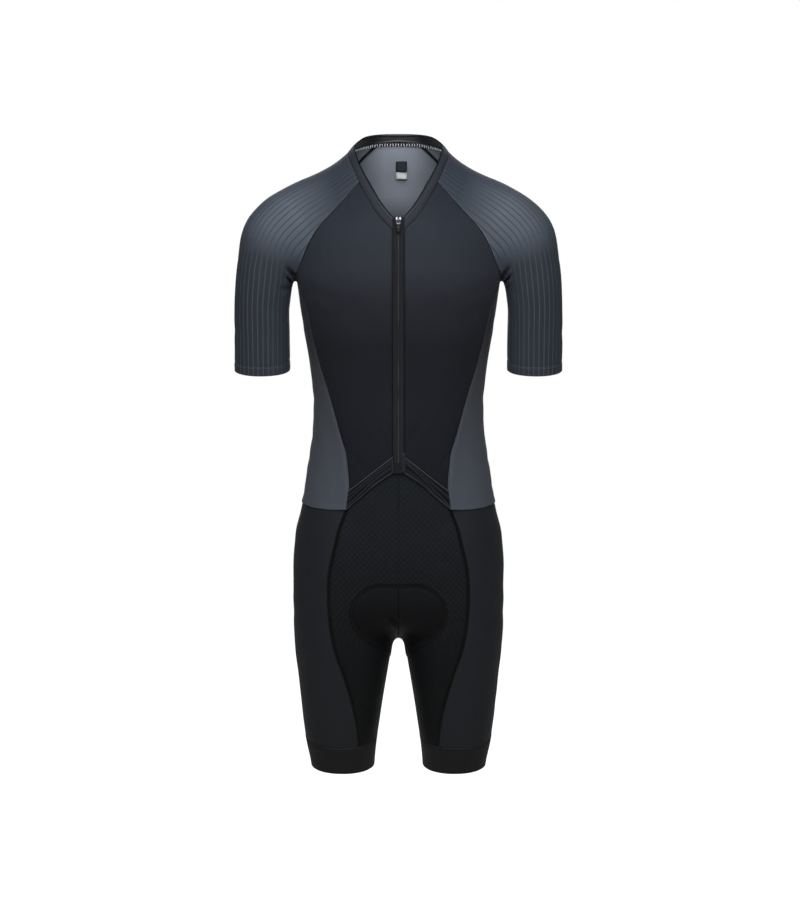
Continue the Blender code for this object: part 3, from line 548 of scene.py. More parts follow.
def armCore():
    def place(p):
        run, out, back = armPlace(p)
        return np.column_stack([np.arctan2(back, out), run, np.hypot(out, back)])

    def point(q):
        at, _, out, back = armFrame(q[:, 1])
        return at + (out * np.cos(q[:, :1]) + back * np.sin(q[:, :1])) * q[:, 2:]

    return place, point


def shares(line):
    run = measured(line)
    return run / run[-1]


# foot and head run the same way; start and end join their first and last points
def patch(core, foot, head, start, end, closed=False):
    place, point = core
    edges = [place(e) for e in (foot, head, start, end)]
    if closed:  # the first edge lies before half a turn and the last one after it
        edges[2][:, 0] -= np.where(edges[2][:, 0] > 0, 2 * math.pi, 0)
        edges[3][:, 0] += np.where(edges[3][:, 0] < 0, 2 * math.pi, 0)
        edges[0][0, 0], edges[0][-1, 0] = edges[2][0, 0], edges[3][0, 0]
    footQ, headQ, startQ, endQ = edges
    u = ((shares(foot) + shares(head)) / 2)[None, :, None]
    v = ((shares(start) + shares(end)) / 2)[:, None, None]
    grid = (1 - v) * footQ[None] + v * headQ[None] + (1 - u) * startQ[:, None] + u * endQ[:, None]
    grid -= (1 - u) * ((1 - v) * footQ[0] + v * headQ[0]) + u * ((1 - v) * footQ[-1] + v * headQ[-1])
    points = drop(point(grid.reshape(-1, 3))).reshape(grid.shape)
    points[0], points[-1], points[:, 0], points[:, -1] = foot, head, start, end
    return points


def resampled(line, count):
    run = measured(line)
    return between(np.linspace(0, run[-1], count + 1), run, line)


def ribbon(foot, head, rowCount):
    share = np.linspace(0, 1, rowCount + 1)[:, None, None]
    return drop(foot[None] * (1 - share) + head[None] * share)


# How far each point of a grid stands from the four edges, along the cloth
def edgeRuns(grid):
    across = np.linalg.norm(np.diff(grid, axis=1), axis=2).cumsum(1)
    across = np.concatenate([np.zeros((len(grid), 1)), across], 1)
    along = np.linalg.norm(np.diff(grid, axis=0), axis=2).cumsum(0)
    along = np.concatenate([np.zeros((1, grid.shape[1])), along], 0)
    return {"start": across, "end": across[:, -1:] - across, "foot": along, "head": along[-1:] - along}


allEdges = ("foot", "head", "start", "end")


def nearestOf(runs, edges=allEdges):
    return np.min([runs[edge] for edge in edges], 0)


# A cloth's own UV, across it and up it in metres
def clothUv(runs):
    return np.stack([runs["start"], runs["foot"]], -1)


clothSizes = {
    "wall": 0.0012,
    "band": 0.0015,
    "groove": 0.0005,  # how far cloth dips into a seam, and from how far away
    "grooveReach": 0.0026,
    "roll": 0.4,  # how round a free edge is, in wall thicknesses
    "waver": 0.00022,  # the unevenness of cloth that hangs
    "ridge": 0.42,  # height of the ridges beside a crease, for its depth
    "ridgeAway": 1.8,  # how far off they are, in the crease's own widths
    "taper": 0.4,  # the share of a crease over which either end fades
    "widthStretch": 1.12,  # worn size over cut size
    "lengthStretch": 1.04,
    "leastCut": 0.010,  # narrower strips are trim, not sheets of cloth
}
flapSizes = {"start": -0.330, "full": -0.400, "side": 0.0024, "zip": 0.0050, "reach": 0.045}


# How far the fronts stand off the form, over the top of the shorts
def flap(p):
    down = ease((flapSizes["start"] - p[..., 2]) / (flapSizes["start"] - flapSizes["full"]))
    middle = bell(p[..., 0], flapSizes["reach"])
    return down * (flapSizes["side"] + (flapSizes["zip"] - flapSizes["side"]) * middle)


def seamDip(runs, *edges):
    return -clothSizes["groove"] * bell(nearestOf(runs, edges), clothSizes["grooveReach"])


def waver(p):
    x, y, z = (p[..., k] for k in range(3))
    slow = np.sin(71 * x + 23 * z + 1.3) * np.sin(37 * z - 44 * y + 0.4)
    quick = np.sin(131 * z + 64 * x - 53 * y) * np.sin(97 * y + 83 * x + 2.0)
    return clothSizes["waver"] * (slow + 0.5 * quick)


# Creases: from one place to another, bowed to one side, a trough (depth below 0) or a ridge
def creases(*lines):
    return rows("fromA fromB toA toB bow depth width", *lines)


def creased(a, b, table):
    total = np.zeros_like(a)
    for fromA, fromB, toA, toB, bow, depth, width in zip(*table.values()):
        length = math.hypot(toA - fromA, toB - fromB)
        wayA, wayB = (toA - fromA) / length, (toB - fromB) / length
        share = ((a - fromA) * wayA + (b - fromB) * wayB) / length
        off = (b - fromB) * wayA - (a - fromA) * wayB - 4 * bow * length * share * (1 - share)
        across = off / width
        taper = ease(share / clothSizes["taper"]) * ease((1 - share) / clothSizes["taper"])
        ridges = clothSizes["ridge"] * bell(np.abs(across) - clothSizes["ridgeAway"])
        total += depth * taper * (bell(across) - ridges)
    return total


def addObject(name, data):
    obj = bpy.data.objects.new(name, data)
    bpy.context.scene.collection.objects.link(obj)
    return obj


def newMesh(name, verts, faces, materials, faceFinish=None):
    mesh = bpy.data.meshes.new(name)
    mesh.from_pydata(np.asarray(verts).tolist(), [], faces)
    for finish in materials:
        mesh.materials.append(finish)
    if faceFinish is not None:
        mesh.polygons.foreach_set("material_index", np.asarray(faceFinish, np.int32))
    mesh.shade_smooth()
    return addObject(name, mesh)


def setAttribute(mesh, name, values):
    data = mesh.attributes.new(name, "FLOAT", "POINT").data
    data.foreach_set("value", np.asarray(values, np.float32).ravel())


# The loops of grid places round a wall's open edges
def rimLoops(n, m, joined):
    if joined == n:
        return [[(0, j) for j in range(m - 1)], [(n - 1, j) for j in range(m - 2, -1, -1)]]
    low = max(joined - 1, 0)
    up = [(i, m - 1) for i in range(low + 1, n)]
    over = [(n - 1, j) for j in range(m - 2, -1, -1)]
    down = [(i, 0) for i in range(n - 2, low, -1)]
    if joined:
        return [[(0, j) for j in range(m - 1)], [(low, 0)] + up + over + down]
    return [[(0, j) for j in range(m)] + up + over + down]


# A wall of cloth with its own outer and inner finish and rounded free edges
def clothWall(name, outer, square, thick, finishes, uv, marks, joined=0, free=()):
    n, m = outer.shape[:2]
    thick = np.broadcast_to(thick, (n, m))
    number = np.arange(n * m).reshape(n, m)
    number[:joined, -1] = number[:joined, 0]
    used, number = np.unique(number, return_inverse=True)
    number = number.reshape(n, m)
    corner = np.arange(n * m).reshape(n, m)

    def cellsOf(ids):
        return np.stack([ids[:-1, :-1], ids[:-1, 1:], ids[1:, 1:], ids[1:, :-1]], -1).reshape(-1, 4)

    top = outer.reshape(-1, 3)
    a, b, c = (top[cellsOf(corner)[:, k]] for k in (0, 1, 3))
    outward = (np.cross(b - a, c - a) * square.reshape(-1, 3)[cellsOf(corner)[:, 0]]).sum() > 0
    order = [0, 1, 2, 3] if outward else [3, 2, 1, 0]
    quads, corners = cellsOf(number)[:, order], cellsOf(corner)[:, order]
    under = (outer - square * thick[..., None]).reshape(-1, 3)
    verts, markedAt = [top[used], under[used]], [used, used]
    below = len(used)
    faces, places = [quads, (quads + below)[:, ::-1]], [corners, corners[:, ::-1]]
    edgeAt = {"foot": np.s_[0], "head": np.s_[-1], "start": np.s_[:, 0], "end": np.s_[:, -1]}
    isFree = np.zeros((n, m))
    for side in free:
        isFree[edgeAt[side]] = 1
    count = 2 * below
    for loop in rimLoops(n, m, joined):
        i, j = np.array(loop).T
        ids, spots = number[i, j], corner[i, j]
        middle = (top[spots] + under[spots]) / 2
        along = np.roll(middle, -1, 0) - np.roll(middle, 1, 0)
        way = np.cross(along, square[i, j])
        way /= np.maximum(np.linalg.norm(way, axis=1), 1e-12)[:, None]
        inside = outer[n // 2, m // 2] if joined < n else outer[n // 2, j[0]]
        if ((middle - inside) * way).sum() < 0:
            way = -way
        verts.append(middle + way * (thick * clothSizes["roll"] * isFree)[i, j][:, None])
        markedAt.append(spots)
        mid = count + np.arange(len(ids))
        count += len(ids)
        following, nextMid, nextSpots = np.roll(ids, -1), np.roll(mid, -1), np.roll(spots, -1)
        upper = np.stack([ids, mid, nextMid, following], 1)
        lower = np.stack([mid, ids + below, following + below, nextMid], 1)
        spot = np.stack([spots, spots, nextSpots, nextSpots], 1)
        faces += [upper[:, order], lower[:, order]]
        places += [spot[:, order], spot[:, order]]
    finish = np.concatenate([np.full(len(quads), k) for k in (0, 1)] + [np.zeros(len(f)) for f in faces[2:]])
    obj = newMesh(name, np.concatenate(verts), np.concatenate(faces).tolist(), finishes, finish)
    layer = obj.data.uv_layers.new(name="cloth")
    layer.data.foreach_set("uv", uv.reshape(-1, 2)[np.concatenate(places).ravel()].astype(np.float32).ravel())
    for mark, values in marks.items():
        setAttribute(obj.data, mark, values.ravel()[np.concatenate(markedAt)])
    return obj


# The cloth's own area and longest runs, one layer
def cutOf(grid, runs, stretched=True):
    across, along = clothSizes["widthStretch"], clothSizes["lengthStretch"]
    if not stretched:
        across = along = 1.0
    a, b = grid[1:, 1:] - grid[:-1, :-1], grid[1:, :-1] - grid[:-1, 1:]
    area = np.linalg.norm(np.cross(a, b), axis=2).sum() / 2
    width, length = runs["start"][:, -1].max() / across, runs["foot"][-1].max() / along
    return (width, length), min(area / across / along, width * length)


cuts = {}


# A finished piece: the CAD part that it stands for is hidden, and the piece rides on its body
def settle(obj, node, slot, body="suit"):
    if node:
        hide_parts(node)
    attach(obj, body)
    return obj


def panel(
    name, node, slot, grid, finishes, lift, uv=None, thick=None, joined=0, free=(), stretched=True, marks=None
):
    runs = edgeRuns(grid)
    square = squareTo(grid)
    outer = grid + square * (lift(grid, runs) + waver(grid))[..., None]
    known = {"edge": nearestOf(runs, allEdges[:2] if joined == len(grid) else allEdges)}
    if marks is not None:
        known.update(marks(grid, runs))
    uv = clothUv(runs) if uv is None else uv
    obj = clothWall(name, outer, square, thick or clothSizes["wall"], finishes, uv, known, joined, free)
    flat, area = cutOf(grid, runs, stretched)
    cuts[name] = (flat, area)
    min(flat) > clothSizes["leastCut"]
    return settle(obj, node, slot)


# Geometry Nodes and shader trees, built through two small helpers


def newTree(name, kind, inputs, outputs):
    tree = bpy.data.node_groups.new(name, kind)
    for label, socketType, value in inputs:
        socket = tree.interface.new_socket(label, in_out="INPUT", socket_type="NodeSocket" + socketType)
        if value is not None:
            socket.default_value = value
    for label, socketType in outputs:
        tree.interface.new_socket(label, in_out="OUTPUT", socket_type="NodeSocket" + socketType)
    return tree, tree.nodes.new("NodeGroupInput").outputs, tree.nodes.new("NodeGroupOutput").inputs


def join(tree, value, socket):
    if isinstance(value, bpy.types.NodeSocket):
        tree.links.new(value, socket)
    else:
        socket.default_value = value


def addNode(tree, kind, settings=None, **values):
    made = tree.nodes.new(kind)
    for key, value in (settings or {}).items():
        setattr(made, key, value)
    for key, value in values.items():
        sockets = [s for s in made.inputs if s.enabled and s.name.replace(" ", "") == key]
        join(tree, value, sockets[0])
    return made


def calc(tree, operation, *values):
    made = tree.nodes.new("ShaderNodeMath")
    made.operation = operation
    for value, socket in zip(values, made.inputs):
        join(tree, value, socket)
    return made.outputs[0]


def vectorCalc(tree, operation, *values):
    made = tree.nodes.new("ShaderNodeVectorMath")
    made.operation = operation
    for value, socket in zip(values, made.inputs):
        join(tree, value, socket)
    return made.outputs["Value" if operation in ("LENGTH", "DOT_PRODUCT") else "Vector"]


# A path's points at even steps, raised out of the cloth, and the ways that point out of it
def laidPath(tree, given):
    path = addNode(tree, "GeometryNodeMeshToCurve", Mesh=given["Geometry"]).outputs[0]
    even = addNode(tree, "GeometryNodeResampleCurve", {"mode": "LENGTH"}, Curve=path, Length=given["Spacing"])
    square = addNode(tree, "GeometryNodeInputNamedAttribute", {"data_type": "FLOAT_VECTOR"}, Name="square")
    raised = vectorCalc(tree, "SCALE", square.outputs[0])
    tree.links.new(given["Lift"], raised.node.inputs["Scale"])
    points = addNode(tree, "GeometryNodeSetPosition", Geometry=even.outputs[0], Offset=raised)
    return points.outputs[0], square.outputs[0]


def finishedTree(tree, geometry, given, result):
    real = addNode(tree, "GeometryNodeRealizeInstances", Geometry=geometry)
    smoothed = addNode(tree, "GeometryNodeSetShadeSmooth", Geometry=real.outputs[0])
    done = addNode(tree, "GeometryNodeSetMaterial", Geometry=smoothed.outputs[0], Material=given["Finish"])
    tree.links.new(done.outputs[0], result["Geometry"])
    return tree


# Stitches and teeth: a small round bar at every step of a path, slanted to one side and the other
def makeStitchTree():
    inputs = [("Geometry", "Geometry", None), ("Spacing", "Float", 0.003), ("Length", "Float", 0.0022)]
    inputs += [("Width", "Float", 0.0006), ("Height", "Float", 0.0004), ("Lift", "Float", 0.0)]
    inputs += [("Turn", "Float", 0.0), ("Slant", "Float", 0.0), ("Finish", "Material", None)]
    tree, given, result = newTree("stitchRow", "GeometryNodeTree", inputs, [("Geometry", "Geometry")])
    points, square = laidPath(tree, given)
    tangent = addNode(tree, "GeometryNodeInputTangent")
    turn = addNode(tree, "FunctionNodeAxesToRotation", {"primary_axis": "X", "secondary_axis": "Z"})
    tree.links.new(tangent.outputs[0], turn.inputs[0])
    tree.links.new(square, turn.inputs[1])
    index = addNode(tree, "GeometryNodeInputIndex").outputs[0]
    side = calc(tree, "SUBTRACT", calc(tree, "MULTIPLY", calc(tree, "MODULO", index, 2.0), 2.0), 1.0)
    angle = calc(tree, "MULTIPLY_ADD", side, given["Slant"], given["Turn"])
    swing = addNode(tree, "FunctionNodeAxisAngleToRotation", Axis=(0.0, 0.0, 1.0), Angle=angle)
    turned = addNode(tree, "FunctionNodeRotateRotation", {"rotation_space": "LOCAL"})
    tree.links.new(turn.outputs[0], turned.inputs[0])
    tree.links.new(swing.outputs[0], turned.inputs[1])
    grain = addNode(tree, "GeometryNodeMeshUVSphere", Segments=6, Rings=4, Radius=0.5).outputs[0]
    size = addNode(tree, "ShaderNodeCombineXYZ", X=given["Length"], Y=given["Width"], Z=given["Height"])
    bar = addNode(tree, "GeometryNodeTransform", Geometry=grain, Scale=size.outputs[0])
    spread = addNode(tree, "GeometryNodeInstanceOnPoints")
    tree.links.new(points, spread.inputs["Points"])
    tree.links.new(bar.outputs[0], spread.inputs["Instance"])
    tree.links.new(turned.outputs[0], spread.inputs["Rotation"])
    return finishedTree(tree, spread.outputs[0], given, result)


# Piping: a round cord along a path, sunk into the cloth by its lift
def makePipingTree():
    inputs = [("Geometry", "Geometry", None), ("Spacing", "Float", 0.004), ("Radius", "Float", 0.0008)]
    inputs += [("Lift", "Float", 0.0), ("Finish", "Material", None)]
    tree, given, result = newTree("piping", "GeometryNodeTree", inputs, [("Geometry", "Geometry")])
    points, _ = laidPath(tree, given)
    ring = addNode(tree, "GeometryNodeCurvePrimitiveCircle", Resolution=8, Radius=given["Radius"])
    cord = addNode(tree, "GeometryNodeCurveToMesh")
    tree.links.new(points, cord.inputs["Curve"])
    tree.links.new(ring.outputs[0], cord.inputs["Profile Curve"])
    cord.inputs["Fill Caps"].default_value = True
    return finishedTree(tree, cord.outputs[0], given, result)


stitchTree, pipingTree = makeStitchTree(), makePipingTree()


# One plain mesh of what a tree makes along some paths; a path is (points, ways out of the cloth)
def grown(name, slot, tree, paths, finish, node=None, **values):
    points = np.concatenate([line for line, _ in paths])
    ends = np.cumsum([len(line) for line, _ in paths])
    edges = [(k, k + 1) for k in range(len(points) - 1) if k + 1 not in ends]
    mesh = bpy.data.meshes.new(name)
    mesh.from_pydata(points.tolist(), edges, [])
    squares = np.concatenate([square for _, square in paths]).astype(np.float32)
    mesh.attributes.new("square", "FLOAT_VECTOR", "POINT").data.foreach_set("vector", squares.ravel())
    obj = addObject(name, mesh)
    maker = obj.modifiers.new(name, "NODES")
    maker.node_group = tree
    for item in tree.interface.items_tree:
        if item.in_out == "INPUT" and item.name in values:
            maker[item.identifier] = values[item.name]
        elif item.in_out == "INPUT" and item.name == "Finish":
            maker[item.identifier] = finish
    seenFrom = bpy.context.evaluated_depsgraph_get()
    plain = bpy.data.meshes.new_from_object(obj.evaluated_get(seenFrom), depsgraph=seenFrom)
    obj.modifiers.remove(maker)
    obj.data = plain
    if not plain.materials:
        plain.materials.append(finish)
    return settle(obj, node, slot)


# Shader groups that several cloths share


# Fine knit: columns of loops along V, as a height from 0 to 1
def makeKnitGroup():
    inputs = [("Vector", "Vector", None), ("Pitch", "Float", 0.0009)]
    tree, given, result = newTree("knit", "ShaderNodeTree", inputs, [("Height", "Float")])
    parts = addNode(tree, "ShaderNodeSeparateXYZ", Vector=given["Vector"]).outputs
    column = calc(tree, "DIVIDE", parts["X"], given["Pitch"])
    course = calc(tree, "DIVIDE", parts["Y"], given["Pitch"])
    side = calc(tree, "ABSOLUTE", calc(tree, "SINE", calc(tree, "MULTIPLY", column, math.pi)))
    lean = calc(tree, "ADD", calc(tree, "MULTIPLY", course, 1.4), calc(tree, "MULTIPLY", side, 0.5))
    loop = calc(tree, "ABSOLUTE", calc(tree, "SINE", calc(tree, "MULTIPLY", lean, math.pi)))
    tree.links.new(calc(tree, "MULTIPLY", calc(tree, "POWER", side, 0.6), loop), result["Height"])
    return tree


# How far a place is from the nearest dot of a staggered field, in pitches; Rows is two rows' height
def makeDotGroup():
    inputs = [("Vector", "Vector", None), ("Pitch", "Float", 0.005), ("Rows", "Float", 1.732)]
    tree, given, result = newTree("dots", "ShaderNodeTree", inputs, [("Distance", "Float")])
    scaled = vectorCalc(tree, "SCALE", given["Vector"])
    tree.links.new(calc(tree, "DIVIDE", 1.0, given["Pitch"]), scaled.node.inputs["Scale"])
    tall = addNode(tree, "ShaderNodeCombineXYZ", X=1.0, Y=given["Rows"], Z=1.0).outputs[0]
    squashed = vectorCalc(tree, "MULTIPLY", vectorCalc(tree, "DIVIDE", scaled, tall), (1.0, 1.0, 0.0))
    found = []
    for shift in (0.0, 0.5):
        cell = vectorCalc(tree, "FRACTION", vectorCalc(tree, "ADD", squashed, (shift, shift, 0.0)))
        cell = vectorCalc(tree, "SUBTRACT", cell, (0.5, 0.5, 0.0))
        found.append(vectorCalc(tree, "LENGTH", vectorCalc(tree, "MULTIPLY", cell, tall)))
    tree.links.new(calc(tree, "MINIMUM", *found), result["Distance"])
    return tree


# A cloth's colour with its uneven dye; towards its seams a Seam Tone below 1 paints shade into the seam's
# dip, and one above 1 paints a highlight along it
def makeToneGroup():
    inputs = [("Color", "Color", (0.5, 0.5, 0.5, 1.0)), ("Mottle", "Float", 0.08)]
    inputs += [("Seam Tone", "Float", 0.7), ("Seam Reach", "Float", 0.003)]
    tree, given, result = newTree("clothTone", "ShaderNodeTree", inputs, [("Color", "Color")])
    place = addNode(tree, "ShaderNodeTexCoord").outputs["Object"]
    slow = addNode(tree, "ShaderNodeTexNoise", Vector=place, Scale=38.0, Detail=2.0).outputs[0]
    fine = addNode(tree, "ShaderNodeTexNoise", Vector=place, Scale=900.0, Detail=1.0).outputs[0]
    cloud = calc(tree, "SUBTRACT", calc(tree, "ADD", slow, calc(tree, "MULTIPLY", fine, 0.6)), 0.8)
    factor = calc(tree, "MULTIPLY_ADD", cloud, given["Mottle"], 1.0)
    # Painted seam shading by the distance from the nearest seam: shade below a Seam Tone of 1, highlight
    # above it
    edge = addNode(tree, "ShaderNodeAttribute", {"attribute_name": "edge"}).outputs["Fac"]
    away = calc(tree, "MINIMUM", calc(tree, "DIVIDE", edge, given["Seam Reach"]), 1.0)
    less = calc(tree, "SUBTRACT", given["Seam Tone"], 1.0)
    seam = calc(tree, "MULTIPLY_ADD", calc(tree, "SUBTRACT", 1.0, away), less, 1.0)
    both = calc(tree, "MULTIPLY", factor, seam)
    scaled = vectorCalc(tree, "SCALE", given["Color"])
    tree.links.new(both, scaled.node.inputs["Scale"])
    tree.links.new(scaled, result["Color"])
    return tree


knitGroup, dotGroup, toneGroup = makeKnitGroup(), makeDotGroup(), makeToneGroup()


def placed(tree, group, **values):
    made = tree.nodes.new("ShaderNodeGroup")
    made.node_tree = group
    for key, value in values.items():
        socket = next(s for s in made.inputs if s.name.replace(" ", "") == key)
        join(tree, value, socket)
    return made.outputs[0]


def tone(red, green, blue):
    levels = [v / 255 for v in (red, green, blue)]
    return tuple(v / 12.92 if v <= 0.04045 else ((v + 0.055) / 1.055) ** 2.4 for v in levels) + (1.0,)


def shareOf(tree, value, low, high):
    return addNode(tree, "ShaderNodeMapRange", Value=value, FromMin=low, FromMax=high).outputs[0]


def mixed(tree, factor, below, above):
    made = addNode(tree, "ShaderNodeMix", {"data_type": "RGBA"})
    for value, socket in zip((factor, below, above), (made.inputs[0], made.inputs[6], made.inputs[7])):
        join(tree, value, socket)
    return made.outputs[2]


def marked(tree, name):
    return addNode(tree, "ShaderNodeAttribute", {"attribute_name": name}).outputs["Fac"]


def ramp(tree, value, low, high, *stops):
    made = addNode(tree, "ShaderNodeValToRGB", Fac=shareOf(tree, value, low, high))
    bar = made.color_ramp.elements
    bar.remove(bar[-1])
    for k, (place, colour) in enumerate(sorted(stops)):
        share = (place - low) / (high - low)
        element = bar[0] if k == 0 else bar.new(share)
        element.position, element.color = share, colour
    return made.outputs["Color"]


def objectPart(tree, axis):
    place = addNode(tree, "ShaderNodeTexCoord").outputs["Object"]
    return addNode(tree, "ShaderNodeSeparateXYZ", Vector=place).outputs[axis]


def objectZ(tree):
    return objectPart(tree, "Z")


# From 0 at the middle of the suit to 1 out at its sides
def sideways(tree, low, high):
    return shareOf(tree, calc(tree, "ABSOLUTE", objectPart(tree, "X")), low, high)


# A new material with some of its sockets set, its tree and its shader's sockets
def newMaterial(name, values):
    made = bpy.data.materials.new(name)
    made.use_nodes = True
    sockets = made.node_tree.nodes["Principled BSDF"].inputs
    for label, value in values.items():
        sockets[label].default_value = value
    return made, made.node_tree, sockets


clothLooks = {
    "rough": 0.62,
    "specular": 0.08,
    "sheen": 0.02,
    "sheenRough": 0.5,
    "knitDepth": 0.00005,
    "knitPitch": 0.0009,
    "mottle": 0.10,
    "seamTone": 0.62,
    "seamReach": 0.0030,
}


# A knitted cloth: colour is given as a value or made by a function of the tree and its UV
def cloth(name, colour, height=None, **looks):
    look = {**clothLooks, **looks}
    plain = {"Roughness": look["rough"], "Specular IOR Level": look["specular"]}
    plain.update({"Sheen Weight": look["sheen"], "Sheen Roughness": look["sheenRough"]})
    made, tree, sockets = newMaterial(name, plain)
    uv = addNode(tree, "ShaderNodeUVMap", {"uv_map": "cloth"}).outputs[0]
    shown = colour(tree, uv) if callable(colour) else colour
    seam = {"SeamTone": look["seamTone"], "SeamReach": look["seamReach"]}
    tuned = placed(tree, toneGroup, Color=shown, Mottle=look["mottle"], **seam)
    tree.links.new(tuned, sockets["Base Color"])
    loops = placed(tree, knitGroup, Vector=uv, Pitch=look["knitPitch"])
    bump = addNode(tree, "ShaderNodeBump", Height=loops, Distance=look["knitDepth"], Strength=0.6)
    if height is not None:
        relief, distance = height(tree, uv)
        second = addNode(tree, "ShaderNodeBump", Height=relief, Distance=distance, Strength=1.0)
        tree.links.new(bump.outputs[0], second.inputs["Normal"])
        bump = second
    tree.links.new(bump.outputs[0], sockets["Normal"])
    return made


# A plain finish that isn't cloth, with fine wear in its roughness
def solidFinish(name, colour, rough, metallic=0.0, specular=0.5, wear=0.15):
    made, tree, sockets = newMaterial(name, {"Metallic": metallic, "Specular IOR Level": specular})
    place = addNode(tree, "ShaderNodeTexCoord").outputs["Object"]
    worn = addNode(tree, "ShaderNodeTexNoise", Vector=place, Scale=900.0, Detail=3.0).outputs[0]
    tree.links.new(calc(tree, "MULTIPLY_ADD", worn, wear, rough - wear / 2), sockets["Roughness"])
    darker = tuple(0.8 * v for v in colour[:3]) + (1.0,)
    tree.links.new(mixed(tree, worn, darker, colour), sockets["Base Color"])
    bump = addNode(tree, "ShaderNodeBump", Height=worn, Distance=0.00004, Strength=0.5)
    tree.links.new(bump.outputs[0], sockets["Normal"])
    return made


# Finishes


# The fronts' black cloth, paler over the chest and darker towards the hem: painted light from above, falling
# on the chest
def frontColour(tree, uv):
    stops = [(-0.50, tone(20, 21, 26)), (-0.37, tone(24, 25, 31)), (-0.28, tone(26, 27, 32))]
    stops += [(-0.21, tone(33, 35, 41)), (-0.165, tone(42, 45, 52)), (-0.10, tone(42, 46, 54))]
    stops += [(-0.05, tone(37, 40, 48))]
    return ramp(tree, objectZ(tree), -0.50, -0.05, *stops)


def sideColour(tree, uv):
    stops = [(-0.48, tone(65, 69, 77)), (-0.37, tone(60, 63, 68)), (-0.25, tone(44, 44, 50))]
    return ramp(tree, objectZ(tree), -0.52, -0.18, *stops)


# The pale slate inside of the suit, with painted shade: darker downwards from the neck and towards the sides
def innerColour(tree, uv):
    stops = [(-0.50, tone(80, 84, 92)), (-0.11, tone(72, 76, 84)), (-0.07, tone(84, 89, 97))]
    stops += [(-0.035, tone(140, 146, 159)), (0.01, tone(156, 163, 176))]
    ground = ramp(tree, objectZ(tree), -0.50, 0.03, *stops)
    return mixed(tree, calc(tree, "MULTIPLY", sideways(tree, 0.022, 0.062), 0.40), ground, tone(62, 65, 72))


# The satin inside the neck band, darker towards the sides as painted shade, so its middle stands paler as a
# painted sheen
def satinColour(tree, uv):
    return mixed(tree, sideways(tree, 0.022, 0.055), tone(25, 27, 31), tone(15, 16, 18))


sleeveLooks = {
    "stripes": 36,
    "radius": 0.045,  # turns the arm's angle into metres for the cloth's UV
    "line": 0.10,  # half a stripe's width, in the step between stripes
    "dot": 0.0022,
    "dotReach": 0.030,
    "follow": 0.42,  # how far the stripes follow the raglan seams above the bend
    "bend": 0.285,
    "bendReach": 0.09,
    "crownReach": 0.050,  # from the arm's outer line, where painted shade darkens the cloth over the top of the shoulder and where painted light makes it paler towards the body
    "innerFrom": 0.075,  # and where it grows paler towards the body
    "innerTo": 0.135,
}


# Pinstripes that run down the arm, over a printed tone that runs down it through a dotted change; the tone's
# pale band over the cap is print and painted highlight together, with painted shade over the top of the
# shoulder and painted light on the side towards the body
def sleeveColour(tree, uv):
    parts = addNode(tree, "ShaderNodeSeparateXYZ", Vector=uv).outputs
    dots = placed(tree, dotGroup, Vector=uv, Pitch=sleeveLooks["dot"])
    shift = calc(tree, "MULTIPLY", calc(tree, "SUBTRACT", dots, 0.33), sleeveLooks["dotReach"])
    run = calc(tree, "MULTIPLY_ADD", shift, shareOf(tree, parts["Y"], 0.20, 0.23), parts["Y"])
    # Printed tone down the arm; its pale band over the cap is also a painted highlight
    stops = [(0.03, tone(42, 47, 56)), (0.10, tone(49, 55, 64)), (0.165, tone(86, 93, 103))]
    stops += [(0.20, tone(79, 86, 96)), (0.24, tone(45, 49, 56)), (0.295, tone(41, 44, 49))]
    base = ramp(tree, run, 0.0, 0.45, *stops)
    away = calc(tree, "ABSOLUTE", parts["X"])
    # Painted shade over the top of the shoulder, near the arm's outer line
    crown = shareOf(tree, away, sleeveLooks["crownReach"], 0.0)
    crown = calc(tree, "MULTIPLY", crown, shareOf(tree, run, 0.26, 0.20))
    base = mixed(tree, calc(tree, "MULTIPLY", crown, 0.8), base, tone(43, 48, 55))
    # Painted light: paler on the side towards the body, against the shade that the body casts on the arm
    inner = shareOf(tree, away, sleeveLooks["innerFrom"], sleeveLooks["innerTo"])
    base = mixed(tree, calc(tree, "MULTIPLY", inner, 0.5), base, tone(66, 72, 82))
    step = calc(tree, "MULTIPLY", parts["X"], sleeveLooks["stripes"] / (2 * math.pi * sleeveLooks["radius"]))
    share = calc(tree, "FRACT", calc(tree, "ADD", step, 100.0))
    off = calc(tree, "ABSOLUTE", calc(tree, "SUBTRACT", share, 0.5))
    line = sleeveLooks["line"]
    return mixed(tree, shareOf(tree, off, line * 1.5, line * 0.5), base, tone(58, 65, 75))


honeycomb = {"pitch": 0.0086, "rows": 1.047, "dot": 0.30, "depth": 0.00022, "full": -0.66, "gone": -0.74}
stripLooks = {"half": 0.0027, "soft": 0.0006, "edge": 0.0009}


# Raised dots, with none over the pad or low down the legs
def honeycombMask(tree, uv):
    away = placed(tree, dotGroup, Vector=uv, Pitch=honeycomb["pitch"], Rows=honeycomb["rows"])
    dots = shareOf(tree, away, honeycomb["dot"] * 1.3, honeycomb["dot"] * 0.3)
    high = shareOf(tree, objectZ(tree), honeycomb["gone"], honeycomb["full"])
    offPad = shareOf(tree, marked(tree, "pad"), 0.002, -0.002)
    return calc(tree, "MULTIPLY", calc(tree, "MULTIPLY", dots, high), offPad)


# The flat seam and the pad's stitching: narrow strips, darkest along their sides
def withStrips(tree, ground):
    away = calc(tree, "MINIMUM", marked(tree, "seam"), calc(tree, "ABSOLUTE", marked(tree, "pad")))
    half, soft = stripLooks["half"], stripLooks["soft"]
    strip = mixed(tree, shareOf(tree, away, half + soft, half - soft), ground, tone(6, 6, 6))
    side = calc(tree, "ABSOLUTE", calc(tree, "SUBTRACT", away, half))
    return mixed(tree, shareOf(tree, side, stripLooks["edge"], 0.0), strip, tone(1, 1, 1))


